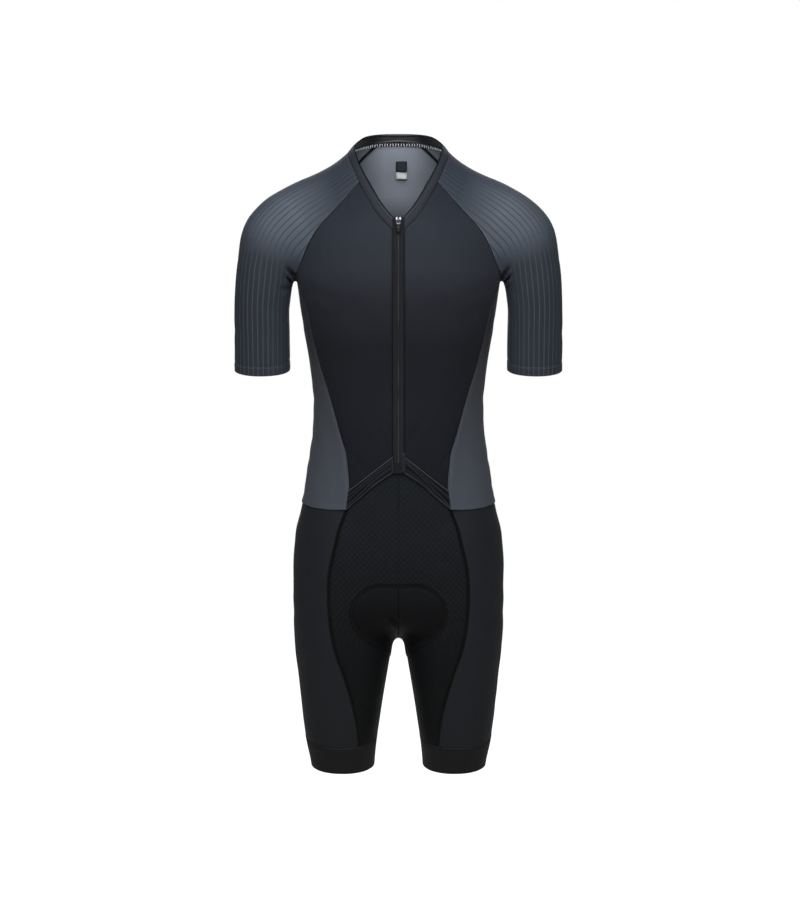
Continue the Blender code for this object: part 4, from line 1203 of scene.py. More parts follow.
def shortsFrontColour(tree, uv):
    # Darker down towards the leg openings: painted shade, as on the fronts under light from above
    stops = [(-0.86, tone(8, 9, 10)), (-0.66, tone(10, 12, 14)), (-0.55, tone(16, 18, 22))]
    ground = ramp(tree, objectZ(tree), -0.86, -0.47, *stops, (-0.47, tone(17, 20, 24)))
    ground = mixed(tree, calc(tree, "MULTIPLY", honeycombMask(tree, uv), 0.32), ground, tone(32, 37, 41))
    overPad = shareOf(tree, marked(tree, "pad"), -0.001, 0.002)
    # Over the pad the cloth darkens towards the fork: painted shade
    stops = [(-0.72, tone(3, 3, 4)), (-0.68, tone(4, 4, 6)), (-0.655, tone(9, 10, 13))]
    pad = ramp(tree, objectZ(tree), -0.72, -0.62, *stops, (-0.63, tone(14, 16, 19)))
    return withStrips(tree, mixed(tree, overPad, ground, pad))


def shortsFrontHeight(tree, uv):
    return honeycombMask(tree, uv), honeycomb["depth"]


def shortsSideColour(tree, uv):
    stops = (-0.86, tone(24, 26, 29)), (-0.50, tone(29, 31, 35))
    return withStrips(tree, ramp(tree, objectZ(tree), -0.86, -0.50, *stops))


# The hem bands: dark cloth, paler on its raised ridges and along its lower edge as painted highlight
def hemColour(tree, uv):
    ridges = shareOf(tree, marked(tree, "ridge"), 0.0, 1.0)
    return mixed(tree, ridges, tone(7, 8, 10), tone(46, 50, 58))


# The free edge's dark line, then near the zip a painted highlight and a line of painted shade
neckLines = rows("away half reach", (0.0000, 0.0022, 9.0), (0.0040, 0.0012, 0.05), (0.0062, 0.0010, 0.06))
neckTones = tone(8, 9, 11), tone(66, 71, 81), tone(20, 21, 25)


# The neck band: dark along its free edge; near the zip, a pale line of painted highlight on the band's ridge
# and a dark line of painted shade in the crease beside it.
# U runs from the zip and V from the free edge
def neckColour(tree, uv):
    parts = addNode(tree, "ShaderNodeSeparateXYZ", Vector=uv).outputs
    shown = tone(43, 46, 55)
    for away, half, reach, colour in zip(*neckLines.values(), neckTones):
        off = calc(tree, "ABSOLUTE", calc(tree, "SUBTRACT", parts["Y"], away))
        byZip = shareOf(tree, parts["X"], reach, 0.0)
        line = calc(tree, "MULTIPLY", shareOf(tree, off, half, half * 0.3), byZip)
        shown = mixed(tree, line, shown, colour)
    return shown


elastic = {"pitch": 0.0021, "depth": 0.00012}


# Elastic's fine ribs, round the band
def elasticHeight(tree, uv):
    along = addNode(tree, "ShaderNodeSeparateXYZ", Vector=uv).outputs["Y"]
    turn = calc(tree, "MULTIPLY", along, 2 * math.pi / elastic["pitch"])
    return calc(tree, "MULTIPLY_ADD", calc(tree, "SINE", turn), 0.5, 0.5), elastic["depth"]


# A seamTone below 1 paints shade beside a cloth's seams, and above 1 (sleeves, side panels) a painted
# highlight
frontCloth = cloth("frontCloth", frontColour, seamTone=0.45, specular=0.06)
sideCloth = cloth("sideCloth", sideColour, seamTone=1.12, seamReach=0.0035)
backCloth = cloth("backCloth", sideColour, seamTone=0.85)
innerCloth = cloth("innerCloth", innerColour, rough=0.7, seamTone=0.35, seamReach=0.0065)
sideCord = cloth("sideCord", sideColour, seamTone=1.1)
hemCloth = cloth("hemCloth", hemColour, seamTone=1.0, rough=0.5)
sleeveCloth = cloth("sleeveCloth", sleeveColour, seamTone=1.4, seamReach=0.0035)
neckCloth = cloth("neckCloth", neckColour, seamTone=0.5, seamReach=0.0018, rough=0.55)
satin = cloth("satin", satinColour, rough=0.40, specular=0.6, seamTone=0.8)
shortsFrontCloth = cloth("shortsFrontCloth", shortsFrontColour, shortsFrontHeight, rough=0.55, seamTone=0.9)
shortsSideCloth = cloth("shortsSideCloth", shortsSideColour, rough=0.55, seamTone=0.9)
shortsInside = cloth("shortsInside", tone(24, 25, 27), rough=0.8)
legBandCloth = cloth("legBandCloth", tone(22, 22, 22), elasticHeight, rough=0.85, sheen=0.05, seamTone=0.7)
gripper = cloth("gripper", tone(32, 32, 33), elasticHeight, rough=0.6, specular=0.4)
tapeCloth = cloth("tapeCloth", tone(29, 31, 34), rough=0.75, seamTone=0.7, knitPitch=0.0006)
padCloth = cloth("padCloth", tone(30, 31, 34), rough=0.85, knitPitch=0.0016, knitDepth=0.00015)
labelDark = cloth("labelDark", tone(56, 62, 70), rough=0.5, knitPitch=0.0005)
labelPale = cloth("labelPale", tone(250, 251, 252), rough=0.6, knitPitch=0.0005)
darkThread = solidFinish("darkThread", tone(20, 21, 24), 0.6, specular=0.3)
slateThread = solidFinish("slateThread", tone(92, 98, 108), 0.55, specular=0.3)
hemThread = solidFinish("hemThread", tone(70, 75, 84), 0.6, specular=0.2)
paleThread = solidFinish("paleThread", tone(236, 239, 245), 0.6, specular=0.3)
toothFinish = solidFinish("zipTeeth", tone(70, 67, 64), 0.5, specular=0.4)
# One metal in two copies: the pale one is painted highlight, on the slider's shoulder bosses and the link's
# sleeve; the dark one is painted shade, on the slider's body, its bridge and the link
metal = solidFinish("paintedHighlightMetal", tone(150, 152, 156), 0.35, metallic=1.0, wear=0.2)
shadedMetal = solidFinish("paintedShadeMetal", tone(70, 72, 76), 0.4, metallic=1.0, wear=0.2)
rubber = solidFinish("pullRubber", tone(11, 11, 12), 0.6, specular=0.12)
faceRubber = solidFinish("pullFace", tone(50, 50, 53), 0.6, specular=0.12)
print("finishes made")

# Panels

handSides = ((1, "Left"), (-1, "Right"))


def bothSides(name, node, slot, grid, finishes, lift, marks=None, **how):
    for side, word in handSides:
        laid = grid if side > 0 else mirrored(grid)
        lifted = partial(lift, side)
        if marks is not None:
            how["marks"] = partial(marks, side)
        panel(name + word, f"{node}_{word.lower()}", slot, laid, finishes, lifted, **how)


# Creases of the fronts: A is the distance from the middle, B is z
frontCreases = {
    1: creases(
        (0.0130, -0.118, 0.0128, -0.425, 0.003, -0.0005, 0.0032),
        (0.1450, -0.176, 0.0850, -0.205, 0.100, -0.0011, 0.0090),
        (0.1380, -0.200, 0.0880, -0.240, 0.080, -0.0007, 0.0070),
        (0.1200, -0.236, 0.0200, -0.242, -0.060, -0.0013, 0.0200),
        (0.0330, -0.110, 0.0950, -0.150, 0.080, 0.0009, 0.0180),
        (0.0980, -0.372, 0.0700, -0.420, 0.050, -0.0005, 0.0050),
        (0.0900, -0.395, 0.0600, -0.455, 0.040, -0.0005, 0.0045),
        (0.0780, -0.418, 0.0500, -0.470, 0.030, -0.0004, 0.0045),
        (0.0140, -0.430, 0.0460, -0.370, 0.050, -0.0007, 0.0055),
        (0.0140, -0.300, 0.0600, -0.320, 0.070, -0.0005, 0.0080),
    ),
    -1: creases(
        (0.0128, -0.112, 0.0130, -0.432, -0.003, -0.0004, 0.0032),
        (0.1440, -0.180, 0.0780, -0.214, 0.080, -0.0010, 0.0085),
        (0.1370, -0.207, 0.0950, -0.235, 0.100, -0.0006, 0.0060),
        (0.1180, -0.230, 0.0240, -0.246, -0.070, -0.0012, 0.0200),
        (0.0360, -0.118, 0.0900, -0.158, 0.060, 0.0008, 0.0180),
        (0.0960, -0.365, 0.0720, -0.428, 0.030, -0.0005, 0.0048),
        (0.0860, -0.402, 0.0560, -0.448, 0.050, -0.0005, 0.0050),
        (0.0680, -0.428, 0.0420, -0.466, 0.030, -0.0004, 0.0040),
        (0.0140, -0.436, 0.0380, -0.385, 0.040, -0.0007, 0.0050),
        (0.0140, -0.345, 0.0520, -0.352, 0.070, -0.0004, 0.0070),
    ),
}


def frontLift(side, p, runs):
    folds = creased(p[..., 0] * side, p[..., 2], frontCreases[side])
    return flap(p) + folds + seamDip(runs, "start", "end", "head")


# Ridges of the hem bands: shares of the way from the zip outwards, and of the height where they start and end
hemRidges = {
    1: rows(
        "low high fromV toV bow level half",
        (-0.10, 1.1, 0.96, 0.97, 0.00, 0.55, 0.030),
        (-0.10, 1.1, 0.83, 0.60, 0.03, 0.70, 0.030),
        (-0.10, 1.1, 0.77, 0.06, 0.04, 0.85, 0.034),
        (-0.10, 0.7, 0.30, 0.16, 0.01, 0.45, 0.034),
        (0.30, 1.1, 0.66, 0.52, 0.02, 0.40, 0.028),
        (-0.10, 1.1, 0.05, 0.03, 0.00, 0.80, 0.055),
    ),
    -1: rows(
        "low high fromV toV bow level half",
        (-0.10, 1.1, 0.96, 0.97, 0.00, 0.50, 0.030),
        (-0.10, 1.1, 0.83, 0.70, 0.00, 0.75, 0.032),
        (-0.05, 1.1, 0.66, 0.46, 0.02, 0.70, 0.030),
        (-0.10, 0.6, 0.50, 0.36, 0.00, 0.55, 0.026),
        (0.00, 1.1, 0.36, 0.15, 0.02, 0.70, 0.032),
        (-0.10, 1.1, 0.05, 0.03, 0.00, 0.65, 0.050),
    ),
}


def ridgesOf(runs, table):
    u = runs["start"] / (runs["start"] + runs["end"])
    v = runs["foot"] / (runs["foot"] + runs["head"])
    total = bell(runs["start"], 0.0014) * ease((0.9 - v) / 0.1)
    for low, high, fromV, toV, bow, level, half in zip(*table.values()):
        share = np.clip((u - low) / (high - low), 0, 1)
        off = v - fromV - (toV - fromV) * share - 4 * bow * share * (1 - share)
        faded = ease((u - low) / 0.1) * ease((high - u) / 0.1)
        total = np.maximum(total, level * faded * bell(off, half))
    return total


hemSizes = {"stand": 0.0004, "bulge": 0.0005, "ridge": 0.0006}


def hemLift(side, p, runs):
    bulge = hemSizes["bulge"] * ease(runs["foot"] / 0.003) * ease(runs["head"] / 0.002)
    return flap(p) + hemSizes["stand"] + bulge + hemSizes["ridge"] * ridgesOf(runs, hemRidges[side])


# Creases of the side panels: A is y, B is z
sideCreases = {
    1: creases(
        (-0.060, -0.455, 0.030, -0.440, 0.06, -0.0007, 0.0075),
        (-0.070, -0.430, 0.000, -0.400, 0.08, -0.0006, 0.0065),
        (-0.050, -0.350, 0.045, -0.335, -0.06, -0.0006, 0.0090),
        (-0.020, -0.230, 0.030, -0.270, 0.08, -0.0007, 0.0070),
        (-0.040, -0.490, 0.050, -0.478, 0.05, -0.0005, 0.0060),
    ),
    -1: creases(
        (-0.066, -0.462, 0.018, -0.436, 0.06, -0.0007, 0.0070),
        (-0.062, -0.418, 0.020, -0.394, -0.07, -0.0006, 0.0070),
        (-0.045, -0.362, 0.052, -0.345, 0.05, -0.0006, 0.0080),
        (-0.015, -0.222, 0.036, -0.262, -0.07, -0.0007, 0.0070),
        (-0.020, -0.492, 0.060, -0.474, -0.04, -0.0005, 0.0060),
    ),
}

lipSizes = {"rise": 0.0011, "reach": 0.006}


# The free edge at the waist stands a little off the shorts
def waistLip(runs):
    return lipSizes["rise"] * bell(runs["foot"], lipSizes["reach"])


def sideLift(side, p, runs):
    nearFront = flap(p) * bell(runs["start"], 0.012)
    folds = creased(p[..., 1], p[..., 2], sideCreases[side])
    return nearFront + waistLip(runs) + folds + 0.6 * seamDip(runs, "start", "end", "head")


# Creases of the back: A is x, B is z
backCreases = creases(
    (0.130, -0.190, 0.060, -0.165, 0.08, -0.0010, 0.0090),
    (-0.128, -0.196, -0.066, -0.160, -0.08, -0.0010, 0.0085),
    (0.120, -0.225, 0.075, -0.205, 0.08, -0.0007, 0.0070),
    (-0.122, -0.236, -0.070, -0.212, -0.07, -0.0007, 0.0075),
    (-0.075, -0.345, 0.060, -0.352, 0.05, -0.0010, 0.0110),
    (-0.050, -0.372, 0.082, -0.366, -0.06, -0.0008, 0.0090),
    (0.095, -0.405, 0.030, -0.432, 0.06, -0.0006, 0.0080),
    (-0.092, -0.398, -0.024, -0.428, -0.05, -0.0006, 0.0080),
    (0.004, -0.060, -0.002, -0.260, 0.02, -0.0008, 0.0140),
    (0.035, 0.010, 0.075, -0.060, 0.05, -0.0005, 0.0060),
    (-0.033, 0.006, -0.080, -0.064, -0.05, -0.0005, 0.0060),
)


def backLift(p, runs):
    folds = creased(p[..., 0], p[..., 2], backCreases)
    return waistLip(runs) + folds + seamDip(runs, "start", "end", "head")


def makeBody():
    body = uprightCore(0)
    outer = chain(seams["side"][cells["hemBand"]:], seams["raglanFront"])
    grid = patch(body, seams["bandTop"], seams["neckFront"], seams["zip"], outer)
    bothSides("front", "front", "front_cloth", grid, [frontCloth, innerCloth], frontLift)
    foot = resampled(seams["bandFoot"], 2 * cells["front"])
    band = ribbon(foot, resampled(seams["bandTop"], 2 * cells["front"]), 20 * finer)
    bothSides("frontHem", "front_hem", "hem_cloth", band, [hemCloth, innerCloth], hemLift, free=("foot",),
              marks=lambda side, p, runs: {"ridge": ridgesOf(runs, hemRidges[side])})
    tip = chain(seams["tipFront"][::-1], seams["tipBack"])
    grid = patch(uprightCore(90), seams["waistSide"], tip, seams["side"], seams["backSide"])
    bothSides("side", "side", "side_cloth", grid, [sideCloth, innerCloth], sideLift, free=("foot",))
    waist, neck = bothHalves(seams["waistBack"]), bothHalves(seams["neckBack"])
    edge = chain(seams["backSide"], seams["raglanBack"])
    grid = patch(uprightCore(180), waist, neck, edge, mirrored(edge))
    panel("backPanel", "back", "side_cloth", grid, [backCloth, innerCloth], backLift, free=("foot",))


makeBody()
print("body panels made")

# Sleeves: creases are placed by turn round the arm (A, in metres of arc) and run down it (B)
sleeveSizes = {"stitchLine": 0.0130, "hemThick": 0.00035}
sleeveCreases = {
    1: creases(
        (-0.1300, 0.250, -0.098, 0.232, 0.10, -0.0050, 0.0030),
        (-0.1330, 0.262, -0.102, 0.248, 0.06, -0.0045, 0.0028),
        (-0.1330, 0.256, -0.100, 0.240, 0.06, 0.0022, 0.0028),
        (-0.140, 0.268, -0.092, 0.268, 0.08, -0.0016, 0.0040),
        (-0.132, 0.272, -0.088, 0.284, 0.06, -0.0009, 0.0045),
        (0.140, 0.256, 0.090, 0.260, -0.08, -0.0017, 0.0036),
        (0.138, 0.243, 0.098, 0.232, -0.10, -0.0012, 0.0036),
        (0.130, 0.274, 0.080, 0.290, -0.06, -0.0009, 0.0050),
        (-0.060, 0.200, 0.010, 0.180, 0.06, -0.0006, 0.0110),
        (-0.070, 0.335, 0.020, 0.345, 0.05, -0.0005, 0.0080),
        (0.030, 0.310, 0.100, 0.325, -0.05, -0.0005, 0.0070),
    ),
    -1: creases(
        (-0.1300, 0.249, -0.096, 0.234, 0.08, -0.0048, 0.0030),
        (-0.1330, 0.263, -0.104, 0.252, 0.05, -0.0042, 0.0028),
        (-0.1330, 0.256, -0.100, 0.243, 0.06, 0.0020, 0.0028),
        (-0.140, 0.270, -0.090, 0.272, 0.08, -0.0015, 0.0040),
        (-0.130, 0.270, -0.094, 0.278, 0.06, -0.0010, 0.0045),
        (0.140, 0.258, 0.094, 0.256, -0.08, -0.0016, 0.0036),
        (0.138, 0.246, 0.102, 0.236, -0.10, -0.0012, 0.0040),
        (0.128, 0.270, 0.084, 0.284, -0.06, -0.0010, 0.0048),
        (-0.050, 0.205, 0.020, 0.190, -0.06, -0.0006, 0.0110),
        (-0.060, 0.350, 0.030, 0.342, -0.05, -0.0005, 0.0080),
        (0.040, 0.300, 0.105, 0.318, 0.05, -0.0005, 0.0075),
    ),
}


def makeSleeves():
    turn = np.linspace(-math.pi, math.pi, cells["sleeve"] + 1)
    lowest = armLine["run"][np.abs(armLine["at"][:, 2] - cut["sleeveHem"]).argmin()]
    run = lowest - cut["sleeveTilt"] * np.sin(turn)
    at, _, out, back = armFrame(run)
    hem = cast(at, out * np.cos(turn)[:, None] + back * np.sin(turn)[:, None], 0.09)
    hem[-1] = hem[0]
    top = armPlace(seams["tipFront"][:1])[0][0] - cut["sleeveSeamTop"]
    at, _, out, _ = armFrame(np.linspace(lowest, top, 5)[1:])
    inner = np.concatenate([hem[:1], cast(at, -out, 0.09), seams["tipFront"][:1]])
    seam = curve(inner, cells["sleeveRows"])
    start = chain(seam, seams["tipFront"][::cells["tip"] // 2], seams["raglanFront"])
    end = chain(seam, seams["tipBack"][::cells["tip"] // 2], seams["raglanBack"])
    grid = patch(armCore(), hem, seams["neckSide"], start, end, closed=True)
    q = armCore()[0](grid.reshape(-1, 3)).reshape(grid.shape)
    middle = grid.shape[1] // 2
    q[:, :middle, 0] -= np.where(q[:, :middle, 0] > math.pi / 2, 2 * math.pi, 0)
    q[:, middle:, 0] += np.where(q[:, middle:, 0] < -math.pi / 2, 2 * math.pi, 0)
    follow = sleeveLooks["follow"] * ease((sleeveLooks["bend"] - q[..., 1]) / sleeveLooks["bendReach"])
    stripe = q[..., 0] + follow * (turn[None] - q[..., 0])
    uv = np.stack([stripe * sleeveLooks["radius"], q[..., 1]], -1)

    def lift(side, p, runs):
        folds = creased(q[..., 0] * sleeveLooks["radius"], q[..., 1], sleeveCreases[side])
        past = runs["foot"] - sleeveSizes["stitchLine"]
        hemWall = ease(-past / 0.002) - 1.6 * bell(past, 0.0016)
        return folds + sleeveSizes["hemThick"] * hemWall + seamDip(runs, "start", "end", "head")

    finishes = [sleeveCloth, innerCloth]
    joined = cells["sleeveRows"] + 1
    bothSides("sleeve", "sleeve", "sleeve_cloth", grid, finishes, lift, uv=uv, joined=joined, free=("foot",))
    return grid


sleeveGrid = makeSleeves()
print("sleeves made")

# The neck band: a folded strip whose ends meet the zip
bandSizes = {
    "rows": 6,
    "bulge": 0.0006,
    "edgeLine": 0.0022,
    "lineDepth": 0.0008,
    "lineWidth": 0.0009,
    "ripple": 0.0005,
}


def makeNeckBand():
    foot, edge = bothHalves(seams["neck"]), bothHalves(seams["neckEdge"])
    grid = ribbon(foot, edge, bandSizes["rows"] * finer)

    def lift(p, runs):
        up, down = runs["foot"], runs["head"]
        total = bandSizes["bulge"] * ease(up / 0.004) * ease(down / 0.004)
        for away in (up, down):
            total -= bandSizes["lineDepth"] * bell(away - bandSizes["edgeLine"], bandSizes["lineWidth"])
        nearZip = np.minimum(runs["start"], runs["end"])
        tail = ease((0.075 - nearZip) / 0.06)
        second = bell(down - 0.0048 - 0.02 * nearZip, 0.0011)
        total -= 0.8 * bandSizes["lineDepth"] * tail * second
        ripple = np.sin(nearZip * 520 + 1.2 * np.sin(nearZip * 160)) * bell(nearZip, 0.05)
        return total + bandSizes["ripple"] * 0.5 * ripple * ease(down / 0.005)

    runs = edgeRuns(grid)
    uv = np.stack([np.minimum(runs["start"], runs["end"]), runs["head"]], -1)
    panel("neckBand", "neck_band", "neck_cloth", grid, [neckCloth, satin], lift, uv=uv,
          thick=clothSizes["band"], free=("head", "start", "end"))


makeNeckBand()
print("neck band made")

# The zip, under and between the fronts
zipLooks = {
    "tape": 0.0010,
    "tapeCells": 4,
    "step": 0.0030,
    "toothPitch": 0.0028,
    "toothLength": 0.0027,
    "toothWidth": 0.0015,
    "toothHeight": 0.0008,
    "toothSlant": 0.10,
    "edgeDip": 0.0004,
    "fold": 0.00035,
    "foldAway": 0.0030,
    "base": 0.0020,
    "basePuff": 0.0006,
}
baseCreases = creases(
    (-0.0075, -0.4640, 0.0010, -0.4450, 0.08, -0.0014, 0.0011),
    (-0.0030, -0.4640, 0.0045, -0.4460, 0.05, -0.0013, 0.0010),
    (0.0020, -0.4640, 0.0062, -0.4470, 0.03, -0.0011, 0.0009),
)


def makeZip():
    low, high = zipSizes["baseHigh"], zipSizes["vTop"]
    levels = np.linspace(low, high, int((high - low) / zipLooks["step"] * finer) + 1)
    columns = np.linspace(zipSizes["tapeGap"] / 2, zipSizes["half"], zipLooks["tapeCells"] * finer + 1)
    grid = np.stack([upright(x, levels) for x in columns], 1)

    def lift(side, p, runs):
        edge = zipLooks["edgeDip"] * bell(runs["end"], 0.0016)
        fold = zipLooks["fold"] * bell(runs["end"] - zipLooks["foldAway"], 0.0012)
        return flap(p) - edge + fold

    bothSides("zipTape", "zip_tape", "zip_tape", grid, [tapeCloth, tapeCloth], lift,
              thick=zipLooks["tape"], stretched=False)
    line = upright(0.0, np.linspace(low + 0.001, zipSizes["vTop"] - 0.014, 160))
    square = squareTo(line)
    teeth = line + square * (flap(line) - 0.0002)[:, None]
    grown("zipCoil", "zip_coil", stitchTree, [(teeth, square)], toothFinish, node="zip_coil",
          Spacing=zipLooks["toothPitch"], Length=zipLooks["toothLength"], Width=zipLooks["toothWidth"],
          Height=zipLooks["toothHeight"], Turn=math.pi / 2, Slant=zipLooks["toothSlant"])
    cols = np.linspace(-zipSizes["half"], zipSizes["half"], 20 * finer + 1)
    baseZ = np.linspace(zipSizes["baseLow"], zipSizes["baseHigh"], 16 * finer + 1)
    base = np.stack([upright(x, baseZ) for x in cols], 1)

    def baseLift(p, runs):
        puff = zipLooks["basePuff"] * ease(runs["start"] / 0.003) * ease(runs["end"] / 0.003)
        return flap(p) + puff + creased(p[..., 0], p[..., 2], baseCreases)

    panel("zipBase", "zip_base", "zip_tape", base, [tapeCloth, tapeCloth], baseLift,
          thick=zipLooks["base"], free=("foot",), stretched=False)


placketSizes = {
    "near": 0.0048, "far": 0.0096, "rise": 0.0012, "crown": 0.0004, "tuck": 0.0016, "wall": 0.0009
}


# The folded end of the wearer's left front, over the foot of the zip
def makePlacket():
    up = np.linspace(zipSizes["baseLow"] + 0.001, zipSizes["hemBand"] + 0.006, 8 * finer + 1)
    across = np.linspace(placketSizes["near"], placketSizes["far"], 4 * finer + 1)
    grid = np.stack([upright(x, up) for x in across], 1)
    square = squareTo(grid)
    runs = edgeRuns(grid)
    crown = placketSizes["crown"] * np.sin(np.linspace(0, math.pi, len(across)))[None]
    rise = placketSizes["rise"] + crown - placketSizes["tuck"] * ease((0.004 - runs["head"]) / 0.004)
    outer = grid + square * (flap(grid) + rise)[..., None]
    marks = {"edge": runs["start"], "ridge": np.full(rise.shape, 0.4)}
    wall = placketSizes["wall"]
    obj = clothWall("placket", outer, square, wall, [hemCloth] * 2, clothUv(runs), marks, free=allEdges)
    settle(obj, None, "hem_cloth")


makeZip()
makePlacket()
print("zip made")

# The slider and its pull, in the slider's own plane: X across, Y up the zip, Z out of the cloth
sliderSizes = {
    "shoulder": 0.0084, "foot": 0.0058, "up": 0.0052, "down": 0.0048, "lift": 0.0005, "plate": 0.0014
}
bridgeSizes = {"width": 0.0022, "up": 0.0026, "down": -0.0030, "height": 0.0046, "bar": 0.0010}
bossSizes = {"apart": 0.0025, "wide": 0.0014, "tall": 0.0022, "up": 0.0024, "rise": 0.0007}
linkSizes = {
    "half": 0.0036, "rod": 0.0010, "hingeY": -0.0004, "hingeZ": 0.0029, "footY": -0.0062, "sleeve": 0.0027
}
faceSizes = rows("low high wide narrow", (0.0066, 0.0114, 0.0021, 0.0016), (0.0032, 0.0046, 0.0012, 0.0009))
tabSizes = {"topHalf": 0.0036, "footHalf": 0.0024, "topY": -0.0079, "footY": -0.0208, "thick": 0.0018}


def sliderFrame():
    at = seen(rows("x z", (0.0, zipSizes["sliderZ"])), -1)
    out = Vector(squareTo(at)[0])
    across = Vector((1, 0, 0))
    up = out.cross(across).normalized()
    turn = Matrix((across, up, across.cross(up))).transposed().to_4x4()
    return Matrix.Translation(Vector(at[0]) + out * float(flap(at)[0])) @ turn


# An outline given a thickness, with its edges rounded off, placed by a matrix
def plate(outline, low, high, matrix, roundness=0.00025):
    made = bmesh.new()
    verts = [[made.verts.new((x, y, z)) for x, y in outline] for z in (low, high)]
    made.faces.new(verts[0][::-1])
    made.faces.new(verts[1])
    for k in range(len(outline)):
        nextOne = (k + 1) % len(outline)
        made.faces.new((verts[0][k], verts[0][nextOne], verts[1][nextOne], verts[1][k]))
    bmesh.ops.bevel(made, geom=made.edges[:], offset=roundness, segments=2, profile=0.7, affect="EDGES")
    bmesh.ops.transform(made, matrix=matrix, verts=made.verts)
    return made


# A round rod bent along some points, closed into a loop or capped
def rod(points, radius, matrix, closed=False, sides=10):
    made = bmesh.new()
    points = [Vector(p) for p in points]
    count = len(points)
    rings = []
    for k, point in enumerate(points):
        before = points[(k - 1) % count] if closed or k else point
        after = points[(k + 1) % count] if closed or k < count - 1 else point
        along = (after - before).normalized()
        aside = Vector((0, 0, 1)) if abs(along.z) < 0.9 else Vector((1, 0, 0))
        u = along.cross(aside).normalized()
        v = along.cross(u)
        turns = [2 * math.pi * t / sides for t in range(sides)]
        rings.append([made.verts.new(point + radius * (math.cos(t) * u + math.sin(t) * v)) for t in turns])
    pairs = list(zip(rings[:-1], rings[1:])) + ([(rings[-1], rings[0])] if closed else [])
    for a, b in pairs:
        for k in range(sides):
            made.faces.new((a[k], b[k], b[(k + 1) % sides], a[(k + 1) % sides]))
    if not closed:
        made.faces.new(rings[0])
        made.faces.new(rings[-1][::-1])
    bmesh.ops.transform(made, matrix=matrix, verts=made.verts)
    return made


def hardPiece(name, node, slot, parts, finish, body):
    whole = bmesh.new()
    for part in parts:
        bmesh.ops.recalc_face_normals(part, faces=part.faces)
        loose = bpy.data.meshes.new(name)
        part.to_mesh(loose)
        part.free()
        whole.from_mesh(loose)
        bpy.data.meshes.remove(loose)
    mesh = bpy.data.meshes.new(name)
    whole.to_mesh(mesh)
    whole.free()
    mesh.materials.append(finish)
    mesh.shade_smooth()
    mesh.set_sharp_from_angle(angle=math.radians(50))
    return settle(addObject(name, mesh), node, slot, body)


def roundLoop(halfWidth, top, foot, height, corner=0.0012, steps=5):
    corners = [(halfWidth, top, 0), (-halfWidth, top, 90), (-halfWidth, foot, 180), (halfWidth, foot, 270)]
    points = []
    for x, y, startTurn in corners:
        cx, cy = x - math.copysign(corner, x), y - math.copysign(corner, y - (top + foot) / 2)
        for k in range(steps):
            turn = math.radians(startTurn + 90 * k / (steps - 1))
            points.append((cx + corner * math.cos(turn), cy + corner * math.sin(turn), height))
    return points


def makeSlider(place):
    a, b = sliderSizes["shoulder"] / 2, sliderSizes["foot"] / 2
    up, down = sliderSizes["up"], sliderSizes["down"]
    low, high = sliderSizes["lift"], sliderSizes["lift"] + sliderSizes["plate"]
    right = [(b, -down), (b + 0.0002, -0.0016), (a, 0.0006), (a, up - 0.0016), (a - 0.0012, up)]
    notch = [(0.0013, up), (0.0008, up - 0.0026), (-0.0008, up - 0.0026), (-0.0013, up)]
    outline = [(-b, -down)] + right + notch + [(-x, y) for x, y in reversed(right[1:])]
    body = plate(outline, low, high, place, 0.0004)
    crown, foot, wide = bridgeSizes["up"], bridgeSizes["down"], bridgeSizes["width"] / 2
    rise, bar = bridgeSizes["height"], bridgeSizes["bar"]
    past, within = bar * 0.4, bar * 0.6
    arch = [(crown + past, high - 0.0004), (crown + past, rise - 0.0008), (crown - 0.0006, rise + 0.0006)]
    arch += [(foot + 0.0006, rise + 0.0006), (foot - past, rise - 0.0008), (foot - past, high - 0.0004)]
    inner = [(foot + within, high - 0.0004), (foot + within, rise - 0.0010), (foot + 0.0012, rise - 0.0003)]
    inner += [(crown - 0.0012, rise - 0.0003), (crown - within, rise - 0.0010)]
    inner += [(crown - within, high - 0.0004)]
    standing = place @ Matrix(((0, 0, 1, 0), (1, 0, 0, 0), (0, 1, 0, 0), (0, 0, 0, 1)))
    bridge = plate(arch + inner, -wide, wide, standing, 0.0002)
    # The body and bridge take the dark copy of the metal: painted shade
    hardPiece("zipSlider", "zip_slider", "slider_metal", [body, bridge], shadedMetal, "suit")
    bosses = []
    for x in (-bossSizes["apart"], bossSizes["apart"]):
        turns = np.radians(np.arange(0, 360, 24))
        across, rise = bossSizes["wide"] * np.cos(turns), bossSizes["tall"] * np.sin(turns)
        rim = list(zip((x + across).tolist(), (bossSizes["up"] + rise).tolist()))
        bosses.append(plate(rim, high - 0.0002, high + bossSizes["rise"], place, 0.0003))
    # The bosses take the pale copy of the metal: a painted highlight on the slider's shoulders
    hardPiece("zipBosses", None, "slider_metal", bosses, metal, "suit")


